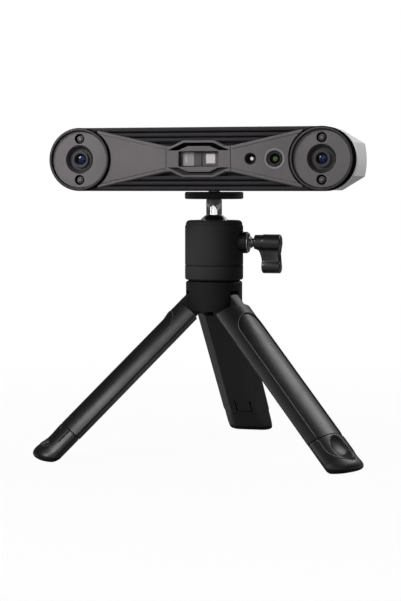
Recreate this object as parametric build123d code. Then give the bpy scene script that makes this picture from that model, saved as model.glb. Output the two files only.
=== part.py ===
from build123d import *
from math import atan2, cos, degrees, radians, sin, sqrt, tan
import os

# A stereo 3-D scanner on a folding mini tripod with a ball head.
# Millimetres. The origin is on the floor below the ball head's axis, +Z is up,
# the scanner's front looks along -Y and +X is on the right of someone facing it.

# Clearances
RUN_FIT = 0.05            # radial play of a shaft in its bore
SEAT_FIT = 0.05           # play round a piece that is set in another one
MOVE_GAP = 0.3            # gap between pieces that move past each other

# Tripod legs
LEG_NAMES = ("rear", "left", "right")
FIRST_LEG_ANGLE = 90.0    # rear leg's direction about the axis, degrees
LEG_SPREAD = 45.9         # lean of an open leg from the vertical, degrees
LEG_REACH = 118.9         # from the leg's pin to the floor, along the open leg
LEG_RADIUS = 16.9         # round outer face of the folded bundle
LEG_HALF_ANGLE = 57.0     # half of the sector that one leg takes of the bundle, degrees
LEG_CORE = 5.4            # flat inner face from the bundle's axis
LEG_EDGE = 0.8            # rounding of a leg's long edges
PIVOT_RADIUS = 10.0       # leg pins from the tripod's axis
KNUCKLE_RADIUS = 5.9
TONGUE_WIDTH = 6.1
PIN_RADIUS = 1.5
PIN_BITE = 3.85           # pin's length in the hub on each side of the slot
PANEL_TOP = 13.5          # recessed panel on the outer face, from the pin
PANEL_HALF = 10.0
PANEL_DEPTH = 0.6

# Pull-out feet
FOOT_LENGTH = 21.0        # from the seam to the floor, along the leg
PANEL_FOOT = 4.0          # foot below the recessed panel's end, along the leg
RAIL_WIDTH = 11.4
RAIL_THICKNESS = 4.4
RAIL_OFFSET = 0.3         # rail's middle from the pin's plane, outwards
FOOT_TRAVEL = 30.0
RAIL_GUIDE = 22.0         # rail that stays in the leg with the foot pulled out
TOE_ROUND = 3.4           # rounding of the toe's nose from the sole to the outer face
TOE_PROUD = 0.25          # rounding's start outside the outer face, so that it meets it at an angle
TOE_SPARE = 0.3           # outer view's end past the nose
TOE_CORNER = 8.0          # rounding of the toe's corners across the leg
SOLE_THICKNESS = 2.6
SCOOP_RADIUS = 11.8
SCOOP_DEPTH = 3.6
SCOOP_BELOW_SEAM = 9.0
SCOOP_RIBS = 5
SCOOP_RIB_PITCH = 2.1
SCOOP_RIB_WIDTH = 0.7
SCOOP_RIB_HEIGHT = 0.5
LATCH_WIDTH = 9.6         # spring tongue cut in the leg's inner wall
LATCH_LENGTH = 10.5
LATCH_SLIT = 0.8
LATCH_ABOVE_SEAM = 2.0

# Tripod hub
HUB_RADIUS = 15.5
HUB_DROP = 4.3            # hub's lower rim below the pins
HUB_CHAMFER = 0.6
SLOT_ROOM = 0.8           # slot's roof above the leg's knuckle
HUB_ROOF = 4.9            # hub above its slots
HEAD_GAP = 0.9            # dark joint line between hub and head
PAN_WASHER_RADIUS = 14.2
HEAD_SCREW_RADIUS = 3.05
HEAD_SCREW_FLOOR = 0.5    # hub left below the screw
HEAD_SCREW_RISE = 5.4     # screw's length inside the head

# Ball head
HEAD_RADIUS = 16.0
BASE_HEIGHT = 7.8
SEAM_WIDTH = 0.3
HOUSING_HEIGHT = 24.5
HOUSING_ROUND = 2.6
BALL_RADIUS = 9.0
BALL_SINK = 5.0           # ball's centre below the housing's top
MOUTH_LIP = 3.7           # height of the lip that holds the ball, from its centre
CUP_WALL = 1.5            # seat's wall outside the ball
SEAT_TOP = 3.5            # seat's rim below the ball's centre
CUP_FLOOR = 3.5           # seat below the ball
NECK_RADIUS = 4.32
PLATE_RISE = 16.6         # plate's underside above the ball's centre
PLATE_RADIUS = 16.2
PLATE_THICKNESS = 4.0
PLATE_CHAMFER = 0.5
TRIPOD_SCREW_RADIUS = 3.1
TRIPOD_SCREW_LENGTH = 6.2

# Clamp of the ball head
CLAMP_BELOW_BALL = 7.2
PLUNGER_RADIUS = 2.8
PLUNGER_LENGTH = 2.7
PLUNGER_GAP = 0.4         # from the seat, with the knob half open
CLAMP_SCREW_RADIUS = 2.5
SCREW_TIP_GAP = 0.3
BUSHING_RADIUS = 5.9
BUSHING_PROUD = 3.7
BUSHING_CHAMFER = 0.7
THREAD_SHOWN = 3.3        # bare thread between the bushing and the collar
COLLAR_LENGTH = 4.1
COLLAR_RADIUS = 4.25
KNOB_WIDTH = 10.6
KNOB_BARREL = 4.6
KNOB_DROP = 13.2          # centre of the wing's end below the knob's axis
KNOB_END = 3.5
KNOB_WAIST = 2.4
KNOB_ROUND = 1.1
THREAD_GROOVE = 0.35
THREAD_PITCH = 1.0

# Scanner body
SCANNER_GAP = 0.5         # open slit between the plate and the scanner
LENS_X = 66.3             # stereo lenses from the middle
SCANNER_HEIGHT = 34.0
FRONT_OVERHANG = 34.8     # front panel's face ahead of the head's axis
SCANNER_DEPTH = 60.8      # from the front panel's face to the rear face
DECK_DEPTH = 3.0          # housing's deck behind the panel's face
DECK_THICKNESS = 2.6
HOUSING_DEPTH = 15.0
HOUSING_WALL = 2.2
FLANGE_DEPTH = 2.0
FLANGE_WIDTH = 4.0
FIN_PITCH = 2.75
FIN_MARGIN = 0.25         # outermost fin from the housing's edge
FIN_ROWS = 3
FIN_HALF = 1.05
FIN_FACE = 0.5            # fin's nose behind the panel's face

# Front panel
WAIST_X = 17.7
WAIST_HALF = 6.9
WING_FROM_LENS = 9.8      # wing's end before the lens centre
WING_MARGIN = 1.4         # wing's end from the housing's edge
PANEL_CHAMFER = 0.6
PANEL_CLEARANCE = 0.25
LIP_TOP_X = 8.3
LIP_TOP_HALF = 10.0
LIP_BEYOND_WAIST = 0.8
LIP_SIDE_HALF = 5.2
LIP_WIDTH = 1.3
LIP_LAND = 0.7            # flat between the lip's side corner and the pocket's
LIP_SKEW = 0.4            # pocket's top corner inside the lip's
POCKET_WIDTH = 1.9
POCKET_SKEW = 2.0         # bridge's top corner inside the pocket's
POCKET_RUN = 6.0          # bridge's side corner inside the pocket's
POCKET_DEPTH = 1.9
ENGRAVE_WIDTH = 0.35
ENGRAVE_DEPTH = 0.3
ENGRAVE_INSET = 1.9

# Projector window
WINDOW_WIDTH = 21.8
WINDOW_HEIGHT = 8.2
WINDOW_CORNER = 0.8
WINDOW_DEPTH = 1.2        # glass behind the panel's face
WINDOW_THICKNESS = 0.9
LINE_PROJECTOR_INSET = 1.5
LINE_PROJECTOR_WIDTH = 9.6
PATTERN_PROJECTOR_INSET = 0.6
PATTERN_PROJECTOR_WIDTH = 6.6
PROJECTOR_MARGIN = 0.5    # projectors below the window's upper edge
PROJECTOR_FACE = 2.5

# Flash lamp and colour camera
FLASH_RADIUS = 3.15
FLASH_LAND = 4.35         # panel between the flash lamp and the colour camera
FLASH_CROWN = 1.55
FLASH_FACE = 1.7
COLOUR_LAND = 2.25        # panel between the colour camera and the lens rim
COLOUR_RING_RADIUS = 5.5
COLOUR_RING_LAND = 0.35
COLOUR_BARREL_RADIUS = 3.8
COLOUR_BARREL_FACE = 0.9
COLOUR_GLASS_RADIUS = 2.5
COLOUR_GLASS_SEAT = 0.35
COLOUR_GLASS_EDGE = 0.9
COLOUR_BOARD = 11.0

# Stereo lenses
RIM_WIDTH = 1.4
RIM_PROUD = 0.8
RIM_CHAMFER = 0.4
DISC_FACE = 0.2           # disc's face behind the panel's face
RECESS_GAP = 1.8          # round gap between the disc and the lens tube
BARREL_RADIUS = 5.9
BARREL_FACE = 0.8
BARREL_LENGTH = 12.2
BARREL_LAND = 0.7         # flat ring at the tube's mouth
BARREL_CONE = 1.9
GLASS_RADIUS = 3.7
GLASS_THICKNESS = 2.2
GLASS_CROWN = 0.7
GLASS_SEAT = 0.7          # ledge behind the front lens
LAMP_WALL = 0.65          # disc between the lens recess and a lamp hole
LAMP_HOLE_RADIUS = 2.75
LAMP_RADIUS = 2.3
LAMP_FACE = 0.7
LAMP_CROWN = 1.15

# Inside of the scanner
BAR_THICKNESS = 3.0
BAR_HALF = 9.0
BAR_MARGIN = 0.8          # bar's round ends inside the housing's wall
SEAT_WALL = 1.6
BOARD_THICKNESS = 1.2
CAMERA_BOARD = 15.0
SENSOR_SIZE = 3.2
SENSOR_THICKNESS = 0.8
STANDOFF_X = 26.0
STANDOFF_Z = 6.0
STANDOFF_RADIUS = 2.0
STANDOFF_LENGTH = 13.4
MAIN_BOARD_WIDTH = 88.0
MAIN_BOARD_HEIGHT = 22.0
PROCESSOR_SIZE = 14.0
PROCESSOR_THICKNESS = 1.5

# Cover screws, under the front panel
SCREW_FROM_LENS = 16.3
SCREW_FROM_EDGE = 6.4
SCREW_RADIUS = 0.95
SCREW_HEAD_RADIUS = 1.8
SCREW_HEAD_HEIGHT = 1.6
SCREW_BITE = 5.0          # screw's length in the cover's lug
BOSS_RADIUS = 2.6
LUG_LENGTH = 6.0
LUG_HALF = 3.2

# Rear cover
COVER_INSET = 0.3         # cover's top and bottom inside the housing's
COVER_REACH = 13.7        # corner of the end facet beyond the lens centre
COVER_BULGE = 1.0
COVER_FACET_HALF = 9.1
COVER_BEVEL_RUN = 12.5
COVER_WALL = 2.0
COVER_CHAMFER = 2.5
INSERT_WALL = 1.5
INSERT_SPARE = 1.8        # insert's length beyond the tripod screw's
INSERT_BOSS_WALL = 2.0

# Key, light and socket on the rear face
BUTTON_RADIUS = 5.0
BUTTON_PROUD = 0.9
BUTTON_FLANGE = 6.2
BUTTON_FLANGE_THICKNESS = 1.0
BUTTON_TRAVEL = 0.6
BUTTON_STEM = 2.8
BUTTON_STEM_LENGTH = 2.0
SWITCH_SIZE = 6.0
SWITCH_HEIGHT = 3.0
LIGHT_X = 11.0
LIGHT_RADIUS = 1.2
SOCKET_FROM_EDGE = 13.0   # socket's middle from the port board's end
SOCKET_WIDTH = 9.0
SOCKET_HEIGHT = 3.3
SOCKET_WALL = 0.35
SOCKET_TONGUE_WIDTH = 6.6
SOCKET_TONGUE_HEIGHT = 0.7
SOCKET_TONGUE_SINK = 0.8
PORT_BOARD_WIDTH = 78.0
PORT_BOARD_HEIGHT = 16.0
PORT_POST_FROM_EDGE = 4.0
PORT_POST_RADIUS = 2.0

# Heights that follow from the sizes above
SPREAD = radians(LEG_SPREAD)
PIVOT_Z = LEG_REACH * cos(SPREAD)
HUB_BOTTOM = PIVOT_Z - HUB_DROP
SLOT_TOP = PIVOT_Z + KNUCKLE_RADIUS + SLOT_ROOM
HUB_TOP = SLOT_TOP + HUB_ROOF
HEAD_SCREW_BOTTOM = SLOT_TOP + HEAD_SCREW_FLOOR
HEAD_BOTTOM = HUB_TOP + HEAD_GAP
BASE_TOP = HEAD_BOTTOM + BASE_HEIGHT
HOUSING_BOTTOM = BASE_TOP + SEAM_WIDTH
HOUSING_TOP = HOUSING_BOTTOM + HOUSING_HEIGHT
BALL_Z = HOUSING_TOP - BALL_SINK
CLAMP_Z = BALL_Z - CLAMP_BELOW_BALL
PLATE_BOTTOM = BALL_Z + PLATE_RISE
PLATE_TOP = PLATE_BOTTOM + PLATE_THICKNESS
SCANNER_BOTTOM = PLATE_TOP + SCANNER_GAP
SCANNER_Z = SCANNER_BOTTOM + SCANNER_HEIGHT / 2

# Sizes of the legs, the hub and the ball's seat that follow from the sizes above
LEG_FLAT_HALF = LEG_CORE * tan(radians(LEG_HALF_ANGLE))
LEG_SHOULDER = (HUB_RADIUS - PIVOT_RADIUS) * sin(SPREAD) + HUB_DROP * cos(SPREAD) + MOVE_GAP
SLOT_WIDTH = TONGUE_WIDTH + 2 * MOVE_GAP
PIN_LENGTH = SLOT_WIDTH + 2 * PIN_BITE
FOOT_SEAM = LEG_REACH - FOOT_LENGTH
PANEL_END = LEG_REACH - PANEL_FOOT
RAIL_START = FOOT_SEAM - RAIL_GUIDE - FOOT_TRAVEL
LEG_OUTER = LEG_RADIUS - PIVOT_RADIUS
TOE_OUT = LEG_OUTER + TOE_PROUD - TOE_ROUND
TOE_ALONG = (PIVOT_Z + TOE_OUT * sin(SPREAD) - TOE_ROUND) / cos(SPREAD)
TOE_END = TOE_ALONG + TOE_ROUND + TOE_SPARE
SEAT_RADIUS = BALL_RADIUS + CUP_WALL
SEAT_BOTTOM = BALL_RADIUS + CUP_FLOOR
INSERT_RADIUS = TRIPOD_SCREW_RADIUS + INSERT_WALL
INSERT_HEIGHT = TRIPOD_SCREW_LENGTH + INSERT_SPARE
INSERT_BOSS = INSERT_RADIUS + INSERT_BOSS_WALL

# Places in the front view that follow from the sizes above
END_RADIUS = SCANNER_HEIGHT / 2
WING_X = LENS_X - WING_FROM_LENS
WING_HALF = END_RADIUS - WING_MARGIN
LIP_SIDE_X = WAIST_X + LIP_BEYOND_WAIST
POCKET_TOP_X = LIP_TOP_X - LIP_SKEW
POCKET_TOP_HALF = LIP_TOP_HALF - LIP_WIDTH
POCKET_SIDE_X = LIP_SIDE_X - LIP_WIDTH
POCKET_SIDE_HALF = LIP_SIDE_HALF - LIP_LAND
BRIDGE_TOP_X = POCKET_TOP_X - POCKET_SKEW
BRIDGE_TOP_HALF = POCKET_TOP_HALF - POCKET_WIDTH
BRIDGE_SIDE_X = POCKET_SIDE_X - POCKET_RUN
LINE_PROJECTOR_X = (LINE_PROJECTOR_WIDTH - WINDOW_WIDTH) / 2 + LINE_PROJECTOR_INSET
PATTERN_PROJECTOR_X = (WINDOW_WIDTH - PATTERN_PROJECTOR_WIDTH) / 2 - PATTERN_PROJECTOR_INSET
PROJECTOR_HEIGHT = WINDOW_HEIGHT - 2 * PROJECTOR_MARGIN
COLOUR_X = LENS_X - END_RADIUS - PANEL_CLEARANCE - COLOUR_LAND - COLOUR_RING_RADIUS
FLASH_X = COLOUR_X - COLOUR_RING_RADIUS - FLASH_LAND - FLASH_RADIUS
LENS_RECESS_RADIUS = BARREL_RADIUS + RECESS_GAP
BARREL_MOUTH = BARREL_RADIUS - BARREL_LAND
BARREL_BORE = GLASS_RADIUS - GLASS_SEAT
LAMP_Z = LENS_RECESS_RADIUS + LAMP_WALL + LAMP_HOLE_RADIUS
BAR_END_RADIUS = END_RADIUS - HOUSING_WALL - BAR_MARGIN
SCREW_X = LENS_X - SCREW_FROM_LENS
SCREW_Z = END_RADIUS - SCREW_FROM_EDGE

# Depths behind the front panel's face that follow from the sizes above
SCANNER_LENGTH = 2 * (LENS_X + END_RADIUS)
DECK_BACK = DECK_DEPTH + DECK_THICKNESS
BAR_BACK = DECK_BACK + BAR_THICKNESS
BARREL_BACK = BARREL_FACE + BARREL_LENGTH
MAIN_BOARD_FACE = BAR_BACK + STANDOFF_LENGTH
COVER_INNER_BACK = SCANNER_DEPTH - COVER_WALL
BUTTON_BACK = COVER_INNER_BACK - BUTTON_TRAVEL - BUTTON_FLANGE_THICKNESS
SWITCH_TOP = BUTTON_BACK - BUTTON_STEM_LENGTH - BUTTON_TRAVEL - SEAT_FIT
PORT_BOARD_BACK = SWITCH_TOP - SWITCH_HEIGHT
SOCKET_X = SOCKET_FROM_EDGE - PORT_BOARD_WIDTH / 2
PORT_POST_X = PORT_BOARD_WIDTH / 2 - PORT_POST_FROM_EDGE

# Places along the clamp's axis that follow from the sizes above
PLUNGER_START = SEAT_RADIUS + PLUNGER_GAP
PLUNGER_END = PLUNGER_START + PLUNGER_LENGTH
CLAMP_SCREW_START = PLUNGER_END + SCREW_TIP_GAP
BUSHING_REACH = HEAD_RADIUS + BUSHING_PROUD
COLLAR_START = BUSHING_REACH + THREAD_SHOWN
KNOB_START = COLLAR_START + COLLAR_LENGTH

LEG_ANGLES = {
    name: FIRST_LEG_ANGLE + index * 360 / len(LEG_NAMES) for index, name in enumerate(LEG_NAMES)
}
SIDES = {"left": -1, "right": 1}


def upright(radius, bottom, top):
    """Cylinder round the head's axis between two heights."""
    return Pos(0, 0, bottom) * extrude(Circle(radius), amount=top - bottom)


def clamp_rod(radius, start, end):
    """Cylinder along the clamp's axis between two distances from the head's axis."""
    plane = Plane(origin=(start, 0, CLAMP_Z), x_dir=(0, 1, 0), z_dir=(1, 0, 0))
    return extrude(plane * Circle(radius), amount=end - start)


def front_slab(outline, near, far):
    """Solid from a front-view outline between two depths behind the panel's face."""
    origin = (0, far - FRONT_OVERHANG, SCANNER_Z)
    plane = Plane(origin=origin, x_dir=(1, 0, 0), z_dir=(0, -1, 0))
    return extrude(plane * outline, amount=far - near, dir=(0, -1, 0))


def front_rod(x, z, radius, near, far):
    """Cylinder that points forwards at a place in the front view."""
    return front_slab(Pos(x, z) * Circle(radius), near, far)


def front_block(x, z, width, height, near, far):
    """Block at a place in the front view."""
    return front_slab(Pos(x, z) * Rectangle(width, height), near, far)


def corners(x, z):
    """The four mirrored places of a point in the front view."""
    return [(sx * x, sz * z) for sx in (-1, 1) for sz in (-1, 1)]


def front_edges(solid):
    """Outer edges of a solid's foremost face."""
    return solid.faces().sort_by(Axis.Y)[0].outer_wire().edges()


def octagon(side_x, side_half, top_x, top_half):
    """Eight-sided front-view outline, mirrored about both middles."""
    quarter = [(side_x, side_half), (top_x, top_half)]
    upper = quarter + [(-x, z) for x, z in reversed(quarter)]
    return Polygon(*upper, *[(-x, -z) for x, z in upper], align=None)


# Tripod hub
def hub_body():
    """Hub with three leg slots, pin bores and the bore of the head's screw."""
    hub = upright(HUB_RADIUS, HUB_BOTTOM, HUB_TOP)
    hub = chamfer(hub.edges().sort_by(Axis.Z)[-1], HUB_CHAMFER)
    slot_start = PIVOT_RADIUS - KNUCKLE_RADIUS - 2 * MOVE_GAP
    slot_length = HUB_RADIUS + MOVE_GAP - slot_start
    slot_height = SLOT_TOP - HUB_BOTTOM
    slot = Box(slot_length, SLOT_WIDTH, slot_height, align=(Align.MIN, Align.CENTER, Align.MIN))
    for angle in LEG_ANGLES.values():
        hub -= Rot(0, 0, angle) * Pos(slot_start, 0, HUB_BOTTOM) * slot
        hub -= pin_at(angle, PIN_RADIUS)
    return hub - upright(HEAD_SCREW_RADIUS, HEAD_SCREW_BOTTOM, HUB_TOP)


def pin_at(angle, radius):
    """Leg pin across one slot of the hub."""
    place = Rot(0, 0, angle) * Pos(PIVOT_RADIUS, 0, PIVOT_Z) * Rot(90, 0, 0)
    return place * Cylinder(radius, PIN_LENGTH)


def leg_pins():
    """One pin for each leg."""
    return [pin_at(angle, PIN_RADIUS) for angle in LEG_ANGLES.values()]


def pan_washer():
    """Washer that the head turns on."""
    washer = upright(PAN_WASHER_RADIUS, HUB_TOP, HEAD_BOTTOM - MOVE_GAP)
    return washer - upright(HEAD_SCREW_RADIUS, HUB_TOP, HEAD_BOTTOM)


def head_screw():
    """Screw that stands in the hub and carries the head."""
    return upright(HEAD_SCREW_RADIUS, HEAD_SCREW_BOTTOM, HEAD_BOTTOM + HEAD_SCREW_RISE)


# Legs, modelled hanging straight down from the pin, with +X outwards
def leg_prism(start, end):
    """Plain sector of the leg bundle between two distances below the pin."""
    half = radians(LEG_HALF_ANGLE)
    edge_x = LEG_RADIUS * cos(half) - PIVOT_RADIUS
    edge_y = LEG_RADIUS * sin(half)
    flat_x = LEG_CORE - PIVOT_RADIUS
    outer = ThreePointArc((edge_x, edge_y), (LEG_OUTER, 0), (edge_x, -edge_y))
    inner = Polyline(
        (edge_x, -edge_y), (flat_x, -LEG_FLAT_HALF), (flat_x, LEG_FLAT_HALF), (edge_x, edge_y)
    )
    section = make_face(outer + inner)
    section = fillet(section.vertices(), LEG_EDGE)
    return Pos(0, 0, -start) * extrude(section, amount=start - end)


def panel_recess():
    """Shallow recess with round ends along the leg's outer face."""
    length = PANEL_END - PANEL_TOP
    middle = (PANEL_END + PANEL_TOP) / 2
    outline = Plane(origin=(0, 0, -middle), x_dir=(0, 0, 1), z_dir=(1, 0, 0))
    bar = extrude(outline * SlotOverall(length, 2 * PANEL_HALF), amount=LEG_RADIUS)
    floor = Pos(-PIVOT_RADIUS, 0, -middle) * Cylinder(LEG_RADIUS - PANEL_DEPTH, 2 * length)
    return bar - floor


def rail(clearance, start, end):
    """Bar that slides in the leg, grown by a clearance."""
    height = RAIL_THICKNESS + 2 * clearance
    width = RAIL_WIDTH + 2 * clearance
    bar = Box(height, width, end - start, align=(Align.CENTER, Align.CENTER, Align.MAX))
    return Pos(RAIL_OFFSET, 0, -start) * bar


def latch_slit():
    """U-shaped slit that frees the spring tongue in the leg's inner wall."""
    wall = PIVOT_RADIUS - LEG_CORE
    bottom = FOOT_SEAM - LATCH_ABOVE_SEAM
    outer = Box(wall, LATCH_WIDTH, LATCH_LENGTH, align=(Align.MAX, Align.CENTER, Align.MIN))
    inner_width = LATCH_WIDTH - 2 * LATCH_SLIT
    inner = Box(wall, inner_width, LATCH_LENGTH, align=(Align.MAX, Align.CENTER, Align.MIN))
    reach = RAIL_OFFSET - RAIL_THICKNESS / 2
    return Pos(reach, 0, -bottom) * (outer - Pos(0, 0, LATCH_SLIT) * inner)


def leg_shell():
    """Leg with its knuckle, its recessed panel and the hollow for the rail."""
    tongue = leg_prism(0, LEG_SHOULDER) & Box(4 * LEG_RADIUS, TONGUE_WIDTH, 4 * LEG_RADIUS)
    shell = leg_prism(LEG_SHOULDER, FOOT_SEAM) + tongue
    shell += Rot(90, 0, 0) * Cylinder(KNUCKLE_RADIUS, TONGUE_WIDTH)
    shell -= Rot(90, 0, 0) * Cylinder(PIN_RADIUS + RUN_FIT, 2 * TONGUE_WIDTH)
    shell -= panel_recess()
    shell -= rail(MOVE_GAP, RAIL_START - MOVE_GAP, FOOT_SEAM)
    return shell - latch_slit()


def thumb_scoop():
    """Round hollow with ribs for pulling the foot out."""
    centre = Pos(LEG_OUTER + SCOOP_RADIUS - SCOOP_DEPTH, 0, 0)
    hollow = centre * Sphere(SCOOP_RADIUS)
    ribs = centre * Sphere(SCOOP_RADIUS - SCOOP_RIB_HEIGHT)
    bar = Box(4 * SCOOP_RADIUS, 4 * SCOOP_RADIUS, SCOOP_RIB_WIDTH)
    for index in range(SCOOP_RIBS):
        height = (index - (SCOOP_RIBS - 1) / 2) * SCOOP_RIB_PITCH
        hollow -= Pos(0, 0, height) * bar
    return Pos(0, 0, -FOOT_SEAM - SCOOP_BELOW_SEAM) * (hollow + ribs)


def open_leg():
    """Placement of a hanging leg in its open position, in the plane Y = 0."""
    return Pos(PIVOT_RADIUS, 0, PIVOT_Z) * Rot(0, -LEG_SPREAD, 0)


def toe_profile():
    """Side view that the open foot is trimmed to: flat sole and round nose."""
    nose_x = PIVOT_RADIUS + TOE_OUT * cos(SPREAD) + TOE_ALONG * sin(SPREAD)

    def nose(angle):
        return (nose_x + TOE_ROUND * cos(angle), TOE_ROUND + TOE_ROUND * sin(angle))

    back_x = PIVOT_RADIUS
    end_x, end_z = nose(SPREAD)
    top_x, top_z = end_x - LEG_REACH * sin(SPREAD), end_z + LEG_REACH * cos(SPREAD)
    round_nose = ThreePointArc((nose_x, 0), nose(SPREAD / 2 - radians(45)), (end_x, end_z))
    rest = Polyline((end_x, end_z), (top_x, top_z), (back_x, top_z), (back_x, 0), (nose_x, 0))
    return extrude(Plane.XZ * make_face(round_nose + rest), amount=2 * LEG_RADIUS, both=True)


def toe_outline():
    """Outer view that the hanging foot is trimmed to: round corners at the toe."""
    length = TOE_END - FOOT_SEAM
    width = 2 * LEG_RADIUS * sin(radians(LEG_HALF_ANGLE))
    outline = Pos(0, -FOOT_SEAM - length / 2) * Rectangle(width, length)
    outline = fillet(outline.vertices().group_by(Axis.Y)[0], TOE_CORNER)
    plane = Plane(origin=(0, 0, 0), x_dir=(0, 1, 0), z_dir=(1, 0, 0))
    return extrude(plane * outline, amount=2 * LEG_RADIUS, both=True)


def whole_foot():
    """Open foot from the seam to the floor, without its rail."""
    foot = leg_prism(FOOT_SEAM + MOVE_GAP, TOE_END + TOE_ROUND) - panel_recess() - thumb_scoop()
    return open_leg() * (foot & toe_outline()) & toe_profile()


def floor_layer():
    """Block that holds everything up to the sole's top."""
    size = 4 * LEG_REACH
    return Pos(0, 0, SOLE_THICKNESS) * Box(
        size, size, size, align=(Align.CENTER, Align.CENTER, Align.MAX)
    )


def foot_body():
    """Foot above its sole, with the rail that runs in the leg."""
    bar = open_leg() * rail(0, RAIL_START, FOOT_SEAM + 2 * MOVE_GAP)
    return whole_foot() - floor_layer() + bar


def foot_sole():
    """Rubber layer under the foot."""
    return whole_foot() & floor_layer()


# Ball head
def head_base():
    """Lower part of the head, with the spigot under the ball's seat."""
    base = upright(HEAD_RADIUS, HEAD_BOTTOM, BASE_TOP)
    base = chamfer(base.edges().sort_by(Axis.Z)[0], HUB_CHAMFER)
    base += upright(SEAT_RADIUS, BASE_TOP, BALL_Z - SEAT_BOTTOM - MOVE_GAP)
    bore_top = HEAD_BOTTOM + HEAD_SCREW_RISE + MOVE_GAP
    return base - upright(HEAD_SCREW_RADIUS + RUN_FIT, HEAD_BOTTOM, bore_top)


def ball_space():
    """Space in the housing for the ball, its seat and its swing."""
    room = Pos(0, 0, BALL_Z) * Sphere(BALL_RADIUS + RUN_FIT)
    room += upright(SEAT_RADIUS + RUN_FIT, HOUSING_BOTTOM, BALL_Z - SEAT_TOP + MOVE_GAP)
    lip_radius = sqrt((BALL_RADIUS + RUN_FIT) ** 2 - MOUTH_LIP ** 2)
    flare = BALL_SINK - MOUTH_LIP
    mouth = Cone(lip_radius, lip_radius + flare, flare, align=(Align.CENTER, Align.CENTER, Align.MIN))
    return room + Pos(0, 0, BALL_Z + MOUTH_LIP) * mouth


def head_housing():
    """Upper part of the head, round the ball."""
    housing = upright(HEAD_RADIUS, HOUSING_BOTTOM, HOUSING_TOP)
    housing = fillet(housing.edges().sort_by(Axis.Z)[-1], HOUSING_ROUND)
    housing -= ball_space()
    housing -= clamp_rod(PLUNGER_RADIUS + RUN_FIT, 0, HEAD_RADIUS)
    return housing - clamp_rod(BUSHING_RADIUS, CLAMP_SCREW_START, BUSHING_REACH)


def ball_seat():
    """Cup that the ball turns in."""
    seat = upright(SEAT_RADIUS, BALL_Z - SEAT_BOTTOM, BALL_Z - SEAT_TOP)
    return seat - Pos(0, 0, BALL_Z) * Sphere(BALL_RADIUS + RUN_FIT)


def ball_stem():
    """Ball and neck in one piece."""
    return Pos(0, 0, BALL_Z) * Sphere(BALL_RADIUS) + upright(NECK_RADIUS, BALL_Z, PLATE_BOTTOM)


def mount_plate():
    """Round plate under the scanner."""
    plate = upright(PLATE_RADIUS, PLATE_BOTTOM, PLATE_TOP)
    plate = chamfer(plate.edges(), PLATE_CHAMFER)
    return plate - upright(TRIPOD_SCREW_RADIUS, PLATE_BOTTOM, PLATE_TOP)


def tripod_screw():
    """Standard tripod screw, through the plate into the scanner."""
    screw = upright(TRIPOD_SCREW_RADIUS, PLATE_BOTTOM, PLATE_TOP + TRIPOD_SCREW_LENGTH)
    return chamfer(screw.edges().sort_by(Axis.Z)[-1], PLATE_CHAMFER)


# Clamp of the ball head
def clamp_plunger():
    """Pad that the clamp screw pushes against the ball's seat."""
    return clamp_rod(PLUNGER_RADIUS, PLUNGER_START, PLUNGER_END)


def clamp_bushing():
    """Threaded bushing set in the housing's side."""
    bushing = clamp_rod(BUSHING_RADIUS, CLAMP_SCREW_START, BUSHING_REACH)
    bushing = chamfer(bushing.edges().sort_by(Axis.X)[-1], BUSHING_CHAMFER)
    return bushing - clamp_rod(CLAMP_SCREW_RADIUS + RUN_FIT, CLAMP_SCREW_START, BUSHING_REACH)


def clamp_screw():
    """Screw of the clamp, with its thread cut where it shows."""
    end = KNOB_START + COLLAR_LENGTH
    screw = clamp_rod(CLAMP_SCREW_RADIUS, CLAMP_SCREW_START, end)
    turns = int((COLLAR_START - BUSHING_REACH) / THREAD_PITCH)
    for turn in range(turns):
        start = BUSHING_REACH + turn * THREAD_PITCH + THREAD_GROOVE
        ring = clamp_rod(2 * CLAMP_SCREW_RADIUS, start, start + THREAD_GROOVE)
        screw -= ring - clamp_rod(CLAMP_SCREW_RADIUS - THREAD_GROOVE, start, start + THREAD_GROOVE)
    return screw


def clamp_knob():
    """Wing knob: round barrel with one paddle that hangs down."""
    plane = Plane(origin=(KNOB_START, 0, CLAMP_Z), x_dir=(0, 1, 0), z_dir=(1, 0, 0))
    wing = Circle(KNOB_BARREL) + Pos(0, -KNOB_DROP) * Circle(KNOB_END)
    wing += Pos(0, -KNOB_DROP / 2) * Rectangle(2 * KNOB_WAIST, KNOB_DROP)
    wing = fillet(wing.vertices(), KNOB_END)
    body = extrude(plane * wing, amount=KNOB_WIDTH)
    body = fillet(body.edges().filter_by(Axis.X, reverse=True), KNOB_ROUND)
    body += clamp_rod(COLLAR_RADIUS, COLLAR_START, KNOB_START + KNOB_ROUND)
    return body - clamp_rod(CLAMP_SCREW_RADIUS, COLLAR_START, KNOB_START + COLLAR_LENGTH)


# Scanner housing and front
def panel_outline():
    """Bow tie with an eight-sided lip round the projector window."""
    wing = [(WING_X, WING_HALF), (WAIST_X, WAIST_HALF), (-WAIST_X, WAIST_HALF), (-WING_X, WING_HALF)]
    bow_tie = Polygon(*wing, *[(x, -z) for x, z in reversed(wing)], align=None)
    outline = bow_tie + octagon(LIP_SIDE_X, LIP_SIDE_HALF, LIP_TOP_X, LIP_TOP_HALF)
    for side in SIDES.values():
        outline -= Pos(side * LENS_X, 0) * Circle(END_RADIUS + PANEL_CLEARANCE)
    return outline


def window_outline(clearance):
    """Projector window in the front view."""
    return RectangleRounded(WINDOW_WIDTH + 2 * clearance, WINDOW_HEIGHT + 2 * clearance, WINDOW_CORNER)


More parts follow.
